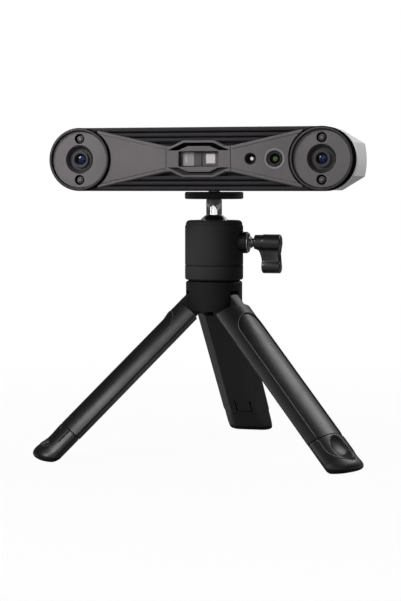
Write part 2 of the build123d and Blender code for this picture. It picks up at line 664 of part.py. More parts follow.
def cooling_fins():
    """Long fins above and below the front panel."""
    fins = []
    for row in range(FIN_ROWS):
        height = END_RADIUS - FIN_MARGIN - FIN_HALF - row * FIN_PITCH
        nose = FIN_FACE + FIN_HALF
        for z in (-height, height):
            fins.append(front_block(0, z, 2 * LENS_X, 2 * FIN_HALF, nose, DECK_DEPTH + SEAT_FIT))
            place = Pos(0, nose - FRONT_OVERHANG, SCANNER_Z + z) * Rot(0, 90, 0)
            fins.append(place * Cylinder(FIN_HALF, 2 * LENS_X))
    fins = Part() + fins
    for side in SIDES.values():
        fins -= front_rod(side * LENS_X, 0, END_RADIUS + PANEL_CLEARANCE, 0, DECK_DEPTH + SEAT_FIT)
    return fins - front_slab(offset(panel_outline(), PANEL_CLEARANCE), 0, DECK_DEPTH + SEAT_FIT)


def front_housing():
    """Finned front housing with its deck, screw bosses and rear flange."""
    body = front_slab(SlotOverall(SCANNER_LENGTH, SCANNER_HEIGHT), DECK_DEPTH, HOUSING_DEPTH)
    inner_height = SCANNER_HEIGHT - 2 * HOUSING_WALL
    inner = SlotOverall(SCANNER_LENGTH - 2 * HOUSING_WALL, inner_height)
    body -= front_slab(inner, DECK_BACK, HOUSING_DEPTH - FLANGE_DEPTH)
    mouth = SlotOverall(SCANNER_LENGTH - 2 * FLANGE_WIDTH, SCANNER_HEIGHT - 2 * FLANGE_WIDTH)
    body -= front_slab(mouth, DECK_BACK, HOUSING_DEPTH)
    for x, z in corners(SCREW_X, SCREW_Z):
        body += front_rod(x, z, BOSS_RADIUS, DECK_BACK, HOUSING_DEPTH)
    for x, z in corners(SCREW_X, SCREW_Z):
        body -= front_rod(x, z, SCREW_HEAD_RADIUS + SEAT_FIT, DECK_DEPTH, DECK_DEPTH + SCREW_HEAD_HEIGHT)
        body -= front_rod(x, z, SCREW_RADIUS + SEAT_FIT, DECK_DEPTH, HOUSING_DEPTH)
    body += cooling_fins()
    for side in SIDES.values():
        body -= front_rod(side * LENS_X, 0, BARREL_RADIUS + MOVE_GAP, DECK_DEPTH, DECK_BACK)
    for x, z in corners(LENS_X, LAMP_Z):
        body -= front_rod(x, z, LAMP_RADIUS + SEAT_FIT, DECK_DEPTH, DECK_BACK)
    body -= front_slab(window_outline(0), DECK_DEPTH, DECK_BACK)
    body -= front_rod(FLASH_X, 0, FLASH_RADIUS, DECK_DEPTH, DECK_BACK)
    return body - front_rod(COLOUR_X, 0, COLOUR_BARREL_RADIUS + SEAT_FIT, DECK_DEPTH, DECK_BACK)


def pocket_outline():
    """Sunken band between the lip and the bridge that carries the window."""
    return Polygon(
        (-POCKET_SIDE_X, POCKET_SIDE_HALF),
        (-POCKET_TOP_X, POCKET_TOP_HALF),
        (POCKET_TOP_X, POCKET_TOP_HALF),
        (POCKET_SIDE_X, POCKET_SIDE_HALF),
        (BRIDGE_SIDE_X, POCKET_SIDE_HALF),
        (BRIDGE_TOP_X, BRIDGE_TOP_HALF),
        (-BRIDGE_TOP_X, BRIDGE_TOP_HALF),
        (-BRIDGE_SIDE_X, POCKET_SIDE_HALF),
        align=None,
    )


def engraved_line(start, end):
    """Fine groove in the panel's face between two places in the front view."""
    length = sqrt((end[0] - start[0]) ** 2 + (end[1] - start[1]) ** 2)
    angle = degrees(atan2(end[1] - start[1], end[0] - start[0]))
    middle = ((start[0] + end[0]) / 2, (start[1] + end[1]) / 2)
    line = Pos(*middle) * Rot(0, 0, angle) * Rectangle(length, ENGRAVE_WIDTH)
    return front_slab(line, 0, ENGRAVE_DEPTH)


def front_panel():
    """Bow-tie panel with its lip, sunken bands, window and camera holes."""
    panel = front_slab(panel_outline(), 0, DECK_DEPTH)
    panel = chamfer(front_edges(panel), PANEL_CHAMFER)
    pocket = front_slab(pocket_outline(), 0, POCKET_DEPTH)
    panel -= pocket
    panel -= mirror(pocket, Plane.XY.offset(SCANNER_Z))
    for sx, sz in corners(1, 1):
        inner = (sx * WAIST_X, sz * (WAIST_HALF - ENGRAVE_INSET))
        outer = (sx * WING_X, sz * (WING_HALF - ENGRAVE_INSET))
        panel -= engraved_line(inner, outer)
    for side in SIDES.values():
        panel -= engraved_line((side * WAIST_X, -WAIST_HALF), (side * WAIST_X, WAIST_HALF))
    panel -= front_slab(window_outline(SEAT_FIT), 0, DECK_DEPTH)
    panel -= front_rod(FLASH_X, 0, FLASH_RADIUS, 0, DECK_DEPTH)
    return panel - front_rod(COLOUR_X, 0, COLOUR_RING_RADIUS, 0, DECK_DEPTH)


def lens_rim(side):
    """Raised ring round a lens disc."""
    x = side * LENS_X
    rim = front_rod(x, 0, END_RADIUS, -RIM_PROUD, DECK_DEPTH)
    rim = chamfer(front_edges(rim), RIM_CHAMFER)
    return rim - front_rod(x, 0, END_RADIUS - RIM_WIDTH, -RIM_PROUD, DECK_DEPTH)


def lens_disc(side):
    """Disc with the lens recess and two lamp holes."""
    x = side * LENS_X
    disc = front_rod(x, 0, END_RADIUS - RIM_WIDTH - MOVE_GAP, DISC_FACE, DECK_DEPTH)
    disc -= front_rod(x, 0, LENS_RECESS_RADIUS, DISC_FACE, DECK_DEPTH)
    for z in (-LAMP_Z, LAMP_Z):
        disc -= front_rod(x, z, LAMP_HOLE_RADIUS, DISC_FACE, DECK_DEPTH)
    return disc


def front_cone(x, near_radius, far_radius, near, far):
    """Funnel that narrows backwards at a place on the scanner's middle line."""
    place = Pos(x, (near + far) / 2 - FRONT_OVERHANG, SCANNER_Z) * Rot(90, 0, 0)
    return place * Cone(far_radius, near_radius, far - near)


def domed_rod(x, z, radius, crown, near, far):
    """Cylinder with a domed front at a place in the front view."""
    origin = (x, -FRONT_OVERHANG, SCANNER_Z + z)
    plane = Plane(origin=origin, x_dir=(1, 0, 0), z_dir=(0, 0, 1))
    dome = TangentArc((0, near), (radius, near + crown), tangent=(1, 0))
    shank = Polyline((radius, near + crown), (radius, far), (0, far), (0, near))
    return revolve(plane * make_face(dome + shank), axis=Axis(origin, (0, 1, 0)))


def lens_barrel(side):
    """Lens tube with a funnel mouth."""
    x = side * LENS_X
    glass_face = BARREL_FACE + BARREL_CONE
    barrel = front_rod(x, 0, BARREL_RADIUS, BARREL_FACE, BARREL_BACK)
    barrel -= front_cone(x, BARREL_MOUTH, GLASS_RADIUS, BARREL_FACE, glass_face)
    barrel -= front_rod(x, 0, GLASS_RADIUS, glass_face, glass_face + GLASS_THICKNESS)
    return barrel - front_rod(x, 0, BARREL_BORE, BARREL_FACE, BARREL_BACK)


def lens_glass(side):
    """Front lens of a stereo camera."""
    face = BARREL_FACE + BARREL_CONE
    return domed_rod(side * LENS_X, 0, GLASS_RADIUS, GLASS_CROWN, face, face + GLASS_THICKNESS)


def lamp_set():
    """Four small lamps beside the stereo lenses."""
    places = corners(LENS_X, LAMP_Z)
    return [domed_rod(x, z, LAMP_RADIUS, LAMP_CROWN, LAMP_FACE, DECK_BACK) for x, z in places]


# Projector, flash lamp and colour camera
def projector_window():
    """Flat glass in front of the projectors."""
    return front_slab(window_outline(0), WINDOW_DEPTH, WINDOW_DEPTH + WINDOW_THICKNESS)


def line_projector():
    """Wide projector block behind the window."""
    width = LINE_PROJECTOR_WIDTH
    return front_block(LINE_PROJECTOR_X, 0, width, PROJECTOR_HEIGHT, PROJECTOR_FACE, DECK_BACK)


def pattern_projector():
    """Square projector block behind the window."""
    width = PATTERN_PROJECTOR_WIDTH
    return front_block(PATTERN_PROJECTOR_X, 0, width, PROJECTOR_HEIGHT, PROJECTOR_FACE, DECK_BACK)


def flash_lamp():
    """White lamp in the panel's small hole."""
    return domed_rod(FLASH_X, 0, FLASH_RADIUS - SEAT_FIT, FLASH_CROWN, FLASH_FACE, DECK_BACK)


def colour_ring():
    """Funnel-shaped ring round the colour camera."""
    ring = front_rod(COLOUR_X, 0, COLOUR_RING_RADIUS, 0, DECK_DEPTH)
    ring -= front_rod(COLOUR_X, 0, COLOUR_BARREL_RADIUS + SEAT_FIT, 0, DECK_DEPTH)
    mouth = COLOUR_RING_RADIUS - COLOUR_RING_LAND
    return ring - front_cone(COLOUR_X, mouth, COLOUR_BARREL_RADIUS + SEAT_FIT, 0, COLOUR_BARREL_FACE)


def colour_barrel():
    """Lens tube of the colour camera."""
    back = BAR_BACK + SEAT_WALL
    glass_back = COLOUR_BARREL_FACE + GLASS_THICKNESS
    barrel = front_rod(COLOUR_X, 0, COLOUR_BARREL_RADIUS, COLOUR_BARREL_FACE, back)
    barrel -= front_rod(COLOUR_X, 0, COLOUR_GLASS_RADIUS, COLOUR_BARREL_FACE, glass_back)
    bore = COLOUR_GLASS_RADIUS - COLOUR_GLASS_SEAT
    return barrel - front_rod(COLOUR_X, 0, bore, COLOUR_BARREL_FACE, back)


def colour_glass():
    """Front lens of the colour camera."""
    back = COLOUR_BARREL_FACE + GLASS_THICKNESS
    face = back - COLOUR_GLASS_EDGE - GLASS_CROWN
    return domed_rod(COLOUR_X, 0, COLOUR_GLASS_RADIUS, GLASS_CROWN, face, back)


# Inside of the scanner
def optics_bar():
    """Stiff bar behind the deck that holds the cameras in line."""
    outline = Rectangle(2 * LENS_X, 2 * BAR_HALF)
    for side in SIDES.values():
        outline += Pos(side * LENS_X, 0) * Circle(BAR_END_RADIUS)
    bar = front_slab(outline, DECK_BACK, BAR_BACK)
    for x, z in corners(SCREW_X, SCREW_Z):
        bar -= front_rod(x, z, BOSS_RADIUS + MOVE_GAP, DECK_BACK, BAR_BACK)
    for side in SIDES.values():
        bar += front_rod(side * LENS_X, 0, BARREL_RADIUS + SEAT_WALL, BAR_BACK, BARREL_BACK)
    for side in SIDES.values():
        bar -= front_rod(side * LENS_X, 0, BARREL_RADIUS + SEAT_FIT, DECK_BACK, BARREL_BACK)
    bar -= front_rod(COLOUR_X, 0, COLOUR_BARREL_RADIUS + SEAT_FIT, DECK_BACK, BAR_BACK)
    for x, z in corners(STANDOFF_X, STANDOFF_Z):
        bar += front_rod(x, z, STANDOFF_RADIUS, BAR_BACK, MAIN_BOARD_FACE)
    return bar


def camera_board(side):
    """Board and image sensor behind a stereo lens."""
    x = side * LENS_X
    board = front_block(x, 0, CAMERA_BOARD, CAMERA_BOARD, BARREL_BACK, BARREL_BACK + BOARD_THICKNESS)
    return board + front_block(x, 0, SENSOR_SIZE, SENSOR_SIZE, BARREL_BACK - SENSOR_THICKNESS, BARREL_BACK)


def colour_board():
    """Board behind the colour camera."""
    face = BAR_BACK + SEAT_WALL
    return front_block(COLOUR_X, 0, COLOUR_BOARD, COLOUR_BOARD, face, face + BOARD_THICKNESS)


def main_board():
    """Main circuit board on the bar's standoffs."""
    back = MAIN_BOARD_FACE + BOARD_THICKNESS
    return front_block(0, 0, MAIN_BOARD_WIDTH, MAIN_BOARD_HEIGHT, MAIN_BOARD_FACE, back)


def processor():
    """Chip on the back of the main board."""
    face = MAIN_BOARD_FACE + BOARD_THICKNESS
    return front_block(0, 0, PROCESSOR_SIZE, PROCESSOR_SIZE, face, face + PROCESSOR_THICKNESS)


def cover_screws():
    """Screws that hold the rear cover, under the front panel."""
    screws = []
    seat = DECK_DEPTH + SCREW_HEAD_HEIGHT
    for x, z in corners(SCREW_X, SCREW_Z):
        head = front_rod(x, z, SCREW_HEAD_RADIUS, DECK_DEPTH, seat)
        screws.append(head + front_rod(x, z, SCREW_RADIUS, seat, HOUSING_DEPTH + SCREW_BITE))
    return screws


# Rear cover and what is set in it
def cover_outline():
    """Long front-view outline with bevelled corners and slightly round ends."""
    half = SCANNER_HEIGHT / 2 - COVER_INSET
    end_x = LENS_X + COVER_REACH
    top_x = end_x - COVER_BEVEL_RUN
    facet = COVER_FACET_HALF
    bulge = end_x + COVER_BULGE
    right = ThreePointArc((end_x, facet), (bulge, 0), (end_x, -facet))
    left = ThreePointArc((-end_x, -facet), (-bulge, 0), (-end_x, facet))
    below = Polyline((end_x, -facet), (top_x, -half), (-top_x, -half), (-end_x, -facet))
    above = Polyline((-end_x, facet), (-top_x, half), (top_x, half), (end_x, facet))
    return make_face(right + below + left + above)


def cover_block(outline, far):
    """Solid of the cover's outline with bevelled rear edges."""
    block = front_slab(outline, HOUSING_DEPTH, far)
    return chamfer(block.faces().sort_by(Axis.Y)[-1].outer_wire().edges(), COVER_CHAMFER)


def rear_cover():
    """Hollow rear cover with its screw lugs, posts and tripod boss."""
    outline = cover_outline()
    room = offset(outline, -COVER_WALL, kind=Kind.INTERSECTION)
    cover = cover_block(outline, SCANNER_DEPTH) - cover_block(room, COVER_INNER_BACK)
    wall_z = SCANNER_HEIGHT / 2 - COVER_INSET - COVER_WALL / 2
    for sx, sz in corners(1, 1):
        inner_z = SCREW_Z - LUG_HALF
        lug_z = sz * (wall_z + inner_z) / 2
        lug = (2 * LUG_HALF, wall_z - inner_z, HOUSING_DEPTH, HOUSING_DEPTH + LUG_LENGTH)
        cover += front_block(sx * SCREW_X, lug_z, *lug)
    for side in SIDES.values():
        post_end = COVER_INNER_BACK + COVER_WALL / 2
        cover += front_rod(side * PORT_POST_X, 0, PORT_POST_RADIUS, PORT_BOARD_BACK, post_end)
    boss_bottom = SCANNER_BOTTOM + COVER_INSET
    cover += upright(INSERT_BOSS, boss_bottom, boss_bottom + INSERT_HEIGHT + COVER_WALL)
    cover -= upright(INSERT_RADIUS, boss_bottom, boss_bottom + INSERT_HEIGHT)
    for x, z in corners(SCREW_X, SCREW_Z):
        cover -= front_rod(x, z, SCREW_RADIUS, HOUSING_DEPTH, HOUSING_DEPTH + SCREW_BITE)
    cover -= front_rod(0, 0, BUTTON_RADIUS + MOVE_GAP, PORT_BOARD_BACK, SCANNER_DEPTH)
    cover -= front_rod(LIGHT_X, 0, LIGHT_RADIUS, PORT_BOARD_BACK, SCANNER_DEPTH)
    return cover - front_slab(socket_outline(0), COVER_INNER_BACK, SCANNER_DEPTH)


def tripod_insert():
    """Threaded insert for the tripod screw."""
    bottom = SCANNER_BOTTOM + COVER_INSET
    insert = upright(INSERT_RADIUS, bottom, bottom + INSERT_HEIGHT)
    return insert - upright(TRIPOD_SCREW_RADIUS + RUN_FIT, bottom, bottom + INSERT_HEIGHT)


def socket_outline(inset):
    """Round-ended outline of the USB-C socket."""
    width = SOCKET_WIDTH - 2 * inset
    return Pos(SOCKET_X, 0) * SlotOverall(width, SOCKET_HEIGHT - 2 * inset)


def usb_socket():
    """Socket shell with its contact tongue, on the port board."""
    shell = front_slab(socket_outline(0), PORT_BOARD_BACK, SCANNER_DEPTH)
    shell -= front_slab(socket_outline(SOCKET_WALL), PORT_BOARD_BACK + SOCKET_WALL, SCANNER_DEPTH)
    tongue_end = SCANNER_DEPTH - SOCKET_TONGUE_SINK
    size = (SOCKET_TONGUE_WIDTH, SOCKET_TONGUE_HEIGHT)
    return shell + front_block(SOCKET_X, 0, *size, PORT_BOARD_BACK, tongue_end)


def port_board():
    """Small board behind the rear face for the key, the light and the socket."""
    face = PORT_BOARD_BACK - BOARD_THICKNESS
    return front_block(0, 0, PORT_BOARD_WIDTH, PORT_BOARD_HEIGHT, face, PORT_BOARD_BACK)


def key_switch():
    """Switch under the push button."""
    return front_block(0, 0, SWITCH_SIZE, SWITCH_SIZE, PORT_BOARD_BACK, SWITCH_TOP)


def push_button():
    """Round rear button with the flange that keeps it in the cover."""
    flange_end = BUTTON_BACK + BUTTON_FLANGE_THICKNESS
    button = front_rod(0, 0, BUTTON_FLANGE, BUTTON_BACK, flange_end - MOVE_GAP)
    button += front_rod(0, 0, BUTTON_RADIUS, BUTTON_BACK, SCANNER_DEPTH + BUTTON_PROUD)
    return button + front_rod(0, 0, BUTTON_STEM, BUTTON_BACK - BUTTON_STEM_LENGTH, BUTTON_BACK)


def status_light():
    """Light pipe from the port board to the rear face."""
    return front_rod(LIGHT_X, 0, LIGHT_RADIUS, PORT_BOARD_BACK, SCANNER_DEPTH)


def all_nodes():
    """Every piece by name: one solid each, or a list of identical solids."""
    nodes = {
        "hub": hub_body(),
        "leg_pins": leg_pins(),
        "pan_washer": pan_washer(),
        "head_screw": head_screw(),
        "head_base": head_base(),
        "head_housing": head_housing(),
        "ball_seat": ball_seat(),
        "ball_stem": ball_stem(),
        "mount_plate": mount_plate(),
        "tripod_screw": tripod_screw(),
        "clamp_plunger": clamp_plunger(),
        "clamp_bushing": clamp_bushing(),
        "clamp_screw": clamp_screw(),
        "clamp_knob": clamp_knob(),
        "front_housing": front_housing(),
        "front_panel": front_panel(),
        "lamps": lamp_set(),
        "projector_window": projector_window(),
        "line_projector": line_projector(),
        "pattern_projector": pattern_projector(),
        "flash_lamp": flash_lamp(),
        "colour_camera_ring": colour_ring(),
        "colour_camera_barrel": colour_barrel(),
        "colour_camera_glass": colour_glass(),
        "colour_camera_board": colour_board(),
        "optics_bar": optics_bar(),
        "main_board": main_board(),
        "processor": processor(),
        "cover_screws": cover_screws(),
        "rear_cover": rear_cover(),
        "tripod_insert": tripod_insert(),
        "usb_socket": usb_socket(),
        "port_board": port_board(),
        "key_switch": key_switch(),
        "push_button": push_button(),
        "status_light": status_light(),
    }
    shell = open_leg() * leg_shell()
    foot = foot_body()
    sole = foot_sole()
    for name, angle in LEG_ANGLES.items():
        nodes[f"{name}_leg"] = Rot(0, 0, angle) * shell
        nodes[f"{name}_foot"] = Rot(0, 0, angle) * foot
        nodes[f"{name}_sole"] = Rot(0, 0, angle) * sole
    for name, side in SIDES.items():
        nodes[f"{name}_lens_rim"] = lens_rim(side)
        nodes[f"{name}_lens_disc"] = lens_disc(side)
        nodes[f"{name}_lens_barrel"] = lens_barrel(side)
        nodes[f"{name}_lens_glass"] = lens_glass(side)
        nodes[f"{name}_camera_board"] = camera_board(side)
    return nodes


os.makedirs("parts", exist_ok=True)
for name, shape in all_nodes().items():
    pieces = shape if isinstance(shape, list) else [shape]
    solids = [solid for piece in pieces for solid in piece.solids()]
    export_step(Compound(children=solids), f"parts/{name}.step")
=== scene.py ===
"""Looks of a stereo 3-D scanner on a folding mini tripod: pieces, finishes, light and camera."""
import logging
from dataclasses import dataclass, field
from enum import Enum
from math import cos, pi, radians, sin
from typing import Any, Callable, Sequence

import bmesh
import bpy
import numpy as np
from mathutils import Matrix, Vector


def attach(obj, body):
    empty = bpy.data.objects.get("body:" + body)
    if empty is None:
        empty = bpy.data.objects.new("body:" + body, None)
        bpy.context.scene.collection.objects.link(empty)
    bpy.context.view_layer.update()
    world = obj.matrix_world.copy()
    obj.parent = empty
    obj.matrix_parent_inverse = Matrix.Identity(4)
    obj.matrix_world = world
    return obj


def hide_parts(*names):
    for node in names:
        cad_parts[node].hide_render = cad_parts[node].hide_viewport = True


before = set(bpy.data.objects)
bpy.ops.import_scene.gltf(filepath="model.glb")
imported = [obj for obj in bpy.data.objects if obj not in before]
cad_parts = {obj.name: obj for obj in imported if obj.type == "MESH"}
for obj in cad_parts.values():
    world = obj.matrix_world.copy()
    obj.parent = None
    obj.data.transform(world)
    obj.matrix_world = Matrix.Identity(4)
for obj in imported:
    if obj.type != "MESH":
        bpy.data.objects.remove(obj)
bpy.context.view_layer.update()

LOG = logging.getLogger("scanner")
MM = 0.001
MICRON = 0.000001
PHOTO_HEIGHT = 601
CREASE = 32.0              # edges that bend more than this many degrees stay sharp

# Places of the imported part, in millimetres
LEAN = radians(45.9)       # an open leg's lean from the vertical
PIN_Z = 118.9 * cos(LEAN)  # the leg pins' height
PIN_RADIUS = 10.0          # the leg pins from the axis
LEG_RADIUS = 16.9          # a leg's round outer face about the folded bundle's axis
HEAD_BOTTOM = PIN_Z + 12.5
BASE_TOP = PIN_Z + 20.3
CLAMP_Z = PIN_Z + 32.9
BALL_Z = PIN_Z + 40.1
HOUSING_TOP = PIN_Z + 45.1
PLATE_BOTTOM = PIN_Z + 56.7
PLATE_TOP = PIN_Z + 60.7
SCANNER_Z = PIN_Z + 78.2   # the scanner's middle line
FRONT_Y = -34.8            # the front panel's face
REAR_Y = 26.0
LENS_X = 66.3

Array = np.ndarray
Node = bpy.types.Node
Piece = bpy.types.Object
Vec = tuple[float, float, float]
Rgba = tuple[float, float, float, float]

ORIGIN: Vec = (0.0, 0.0, 0.0)
WHITE: Rgba = (1.0, 1.0, 1.0, 1.0)
BLACK: Vec = (0.004, 0.0038, 0.004)


class Side(Enum):
    """The two ends of the scanner, as seen by someone who faces it."""

    LEFT = -1
    RIGHT = 1

    @property
    def word(self) -> str:
        """The end's name as the nodes use it."""
        return self.name.lower()


class Axis(Enum):
    """Directions that turned pieces are turned about, each with two square directions."""

    UP = ((0, 0, 1), (1, 0, 0), (0, 1, 0))
    BACK = ((0, 1, 0), (0, 0, 1), (1, 0, 0))
    RIGHT = ((1, 0, 0), (0, 1, 0), (0, 0, 1))


# Outlines and sections


def stacked(*parts: Any) -> Array:
    """Points from their coordinates, each spread over the shapes of the others."""
    return np.stack(np.broadcast_arrays(*parts), axis=-1)


def unit(vectors: Array) -> Array:
    """The same vectors at length one."""
    return vectors / np.linalg.norm(vectors, axis=-1, keepdims=True)


def full_turn(count: int) -> Array:
    """Evenly spread angles round a circle."""
    return np.linspace(0, 2 * np.pi, count, endpoint=False)


def lengths(path: Array) -> Array:
    """Length of a path of points up to each of them."""
    return np.concatenate([[0.0], np.cumsum(np.linalg.norm(np.diff(path, axis=0), axis=1))])


def outward(outline: Array) -> Array:
    """Unit normals of a closed counter-clockwise outline, square to its neighbours' chord."""
    tangent = np.roll(outline, -1, axis=0) - np.roll(outline, 1, axis=0)
    return unit(stacked(tangent[:, 1], -tangent[:, 0]))


def section(inner: float, outer: float, front: float, back: float) -> Array:
    """Square-cornered section of a ring, as radii and depths."""
    return np.array([(inner, front), (outer, front), (outer, back), (inner, back)])


def dome(radius: float, crown: float, face: float, count: int = 14) -> Array:
    """Section of a round face: depth = face + crown * (r / radius) squared."""
    share = np.linspace(0, 1, count)
    return stacked(share * radius, face + crown * share ** 2)


def lens(radius: float, crown: float, face: float, back: float, count: int = 14) -> Array:
    """Section of a lens: a round face, a rim and a flat back."""
    return np.vstack([dome(radius, crown, face, count), [(radius, back), (0.0, back)]])


def rounded(corners: Sequence[Vec], steps: int = 6, closed: bool = True) -> Array:
    """Outline with round corners.

    Each corner with a radius becomes the arc that touches both of its sides: from the corner, the
    arc's ends lie radius / tan(half the inner angle) along the sides.

    Args:
        corners: Two coordinates and a radius for each corner.
        steps: Pieces of each arc.
        closed: Whether the last corner joins the first.

    Returns:
        Array of points and two coordinates.
    """
    spots = np.array([corner[:2] for corner in corners], float)
    share = np.linspace(0, 1, steps + 1)[:, None]
    parts: list[Array] = []
    for index, (_, _, radius) in enumerate(corners):
        here = spots[index]
        open_end = not closed and index in (0, len(corners) - 1)
        if radius <= 0 or open_end:
            parts.append(here[None])
            continue
        before = unit(spots[index - 1] - here)
        after = unit(spots[(index + 1) % len(spots)] - here)
        half = np.arccos(np.clip(before @ after, -1, 1)) / 2
        centre = here + unit(before + after) * radius / np.sin(half)
        start = here + before * radius / np.tan(half) - centre
        finish = here + after * radius / np.tan(half) - centre
        turn = np.pi - 2 * half
        arc = np.sin((1 - share) * turn) * start + np.sin(share * turn) * finish
        parts.append(centre + arc / np.sin(turn))
    return np.vstack(parts)


def rectangle(width: float, height: float, corner: float) -> Array:
    """Counter-clockwise rectangle with round corners about its own middle."""
    x, z = width / 2, height / 2
    return rounded([(x, -z, corner), (x, z, corner), (-x, z, corner), (-x, -z, corner)], 5)


# Surfaces


@dataclass
class Grid:
    """A surface sampled on rows and columns of two parameters.

    Attributes:
        points: Array of rows, columns and three millimetre coordinates.
        wrap_rows: Whether the last row joins the first one.
        wrap_columns: Whether the last column joins the first one.
    """

    points: Array
    wrap_rows: bool = False
    wrap_columns: bool = False

    def faces(self) -> Array:
        """Corner numbers of every quad.

        Returns:
            Array of quads and four point numbers.
        """
        rows, columns = self.points.shape[:2]
        numbers = np.arange(rows * columns).reshape(rows, columns)
        if self.wrap_rows:
            numbers = np.vstack([numbers, numbers[:1]])
        if self.wrap_columns:
            numbers = np.hstack([numbers, numbers[:, :1]])
        return stacked(
            numbers[:-1, :-1], numbers[:-1, 1:], numbers[1:, 1:], numbers[1:, :-1]
        ).reshape(-1, 4)

    def uv(self) -> Array:
        """Column share and row length of every point, for patterns that follow the surface.

        Returns:
            Array of points with the share round and the length along in metres.
        """
        along = lengths(self.points[:, 0]) * MM
        around = np.linspace(0.0, 1.0, self.points.shape[1])
        return stacked(*np.meshgrid(around, along)).reshape(-1, 2)


def lathe(
    profile: Array, centre: Vec, axis: Axis, segments: int = 96, closed: bool = True
) -> Grid:
    """Surface of revolution: point = centre + h * axis + r * (cos t * e1 + sin t * e2).

    Args:
        profile: Radius r and height h of each point of the section, in millimetres.
        centre: Where h is zero on the axis.
        axis: Direction that the section turns about.
        segments: Columns round the axis.
        closed: Whether the section is a loop.

    Returns:
        The grid, one row for each point of the section.
    """
    along, first, second = np.array(axis.value, float)
    turn = full_turn(segments)[:, None]
    ring = np.cos(turn) * first + np.sin(turn) * second
    radius, height = profile[:, :1, None], profile[:, 1:, None]
    return Grid(np.array(centre) + height * along + radius * ring, closed, True)


def capped(points: Array, ends: Array | None = None) -> Grid:
    """Bar from rows along it and columns round it, with each end drawn to one spot.

    Args:
        points: The bar's rows, columns and coordinates.
        ends: The two spots, or nothing for the middles of the end rows.

    Returns:
        The closed grid.
    """
    spots = points[[0, -1]].mean(axis=1) if ends is None else ends
    caps = np.broadcast_to(spots[:, None], (2, *points.shape[1:]))
    return Grid(np.concatenate([caps[:1], points, caps[1:]]), wrap_columns=True)


def tube(path: Array, first: Array, second: Array, radius: Array | float, count: int) -> Grid:
    """Round bar with closed ends: point = path + radius * (cos t * first + sin t * second).

    Args:
        path: Points of its middle line.
        first: A direction square to the path at each point.
        second: The direction square to both.
        radius: The bar's radius, one value or one for each point.
        count: Columns round it.

    Returns:
        The closed grid.
    """
    turn = full_turn(count)[:, None]
    ring = np.cos(turn) * first[:, None] + np.sin(turn) * second[:, None]
    return capped(path[:, None] + radius * ring)


def make_piece(name: str, grids: Sequence[Grid], crease: float = CREASE) -> Piece:
    """One object from several grids, with doubles merged and faces turned outwards.

    Args:
        name: Name of the piece.
        grids: Its surfaces, in millimetres in the part's frame.
        crease: Edges that bend more than this many degrees stay sharp.

    Returns:
        The linked object, at the origin, with its place in its mesh.
    """
    counts = np.cumsum([0] + [grid.points[..., 0].size for grid in grids])
    spots = np.vstack([grid.points.reshape(-1, 3) for grid in grids]) * MM
    quads = np.vstack([grid.faces() + start for grid, start in zip(grids, counts)])
    chart = np.vstack([grid.uv() for grid in grids])
    mesh = bpy.data.meshes.new(name)
    mesh.from_pydata(spots.tolist(), [], quads.tolist())
    layer = mesh.uv_layers.new(name="surface")
    corner_points = np.zeros(len(mesh.loops), int)
    mesh.loops.foreach_get("vertex_index", corner_points)
    layer.data.foreach_set("uv", chart[corner_points].ravel())
    shape = bmesh.new()
    shape.from_mesh(mesh)
    bmesh.ops.remove_doubles(shape, verts=shape.verts, dist=1e-7)
    bmesh.ops.dissolve_degenerate(shape, edges=shape.edges, dist=1e-8)
    bmesh.ops.recalc_face_normals(shape, faces=shape.faces)
    shape.to_mesh(mesh)
    shape.free()
    mesh.polygons.foreach_set("use_smooth", np.ones(len(mesh.polygons), bool))
    mesh.set_sharp_from_angle(angle=radians(crease))
    piece = bpy.data.objects.new(name, mesh)
    bpy.context.scene.collection.objects.link(piece)
    return piece


# Shader building


def rgba(red: float, green: float, blue: float) -> Rgba:
    """Opaque colour from three linear values."""
    return (red, green, blue, 1.0)


class Graph:
    """Short way to add and join the nodes of one tree."""

    def __init__(self, tree: bpy.types.NodeTree) -> None:
        """Keeps the tree that nodes are added to."""
        self.tree = tree

    def find(self, kind: str) -> Node:
        """The first node of a type."""
        return next(node for node in self.tree.nodes if node.type == kind)

    def feed(self, node: Node, inputs: dict[str | int, Any]) -> None:
        """Joins sockets to a node's inputs and sets plain values on them.

        Args:
            node: The node that is fed.
            inputs: A socket, a node for its first output, or a value, for each input.
        """
        for key, value in inputs.items():
            source = value.outputs[0] if isinstance(value, Node) else value
            if isinstance(source, bpy.types.NodeSocket):
                self.tree.links.new(source, node.inputs[key])
            else:
                node.inputs[key].default_value = source

    def add(self, kind: str, inputs: dict[str | int, Any] | None = None, **settings: Any) -> Node:
        """Adds a node.

        Args:
            kind: The node's type without its common prefix.
            inputs: Values, sockets or nodes for its inputs.
            **settings: The node's own options.

        Returns:
            The new node.
        """
        node = self.tree.nodes.new("ShaderNode" + kind)
        for key, value in settings.items():
            setattr(node, key, value)
        self.feed(node, inputs or {})
        return node

    def math(self, operation: str, first: Any, second: Any) -> Node:
        """Math node on two values."""
        return self.add("Math", {0: first, 1: second}, operation=operation)

    def line(self, value: Any, gain: float, base: Any) -> Node:
        """Gain times a value, plus a base."""
        return self.math("ADD", self.math("MULTIPLY", value, gain), base)

    def dot(self, first: Any, second: Any) -> bpy.types.NodeSocket:
        """Dot product of two vectors."""
        node = self.add("VectorMath", {0: first, 1: second}, operation="DOT_PRODUCT")
        return node.outputs["Value"]

    def ramp(self, factor: Any, low: float, high: float) -> Node:
        """Grey ramp from black at one place to white at another.

        Args:
            factor: What the ramp is read at.
            low: Where it is black.
            high: Where it is white.

        Returns:
            The ramp node.
        """
        node = self.add("ValToRGB", {"Fac": factor})
        for element, place, level in zip(node.color_ramp.elements, (low, high), (0.0, 1.0)):
            element.position = place
            element.color = rgba(level, level, level)
        return node

    def mix(self, factor: Any, first: Any, second: Any) -> bpy.types.NodeSocket:
        """Colour between two colours."""
        return self.add("Mix", {0: factor, 6: first, 7: second}, data_type="RGBA").outputs[2]


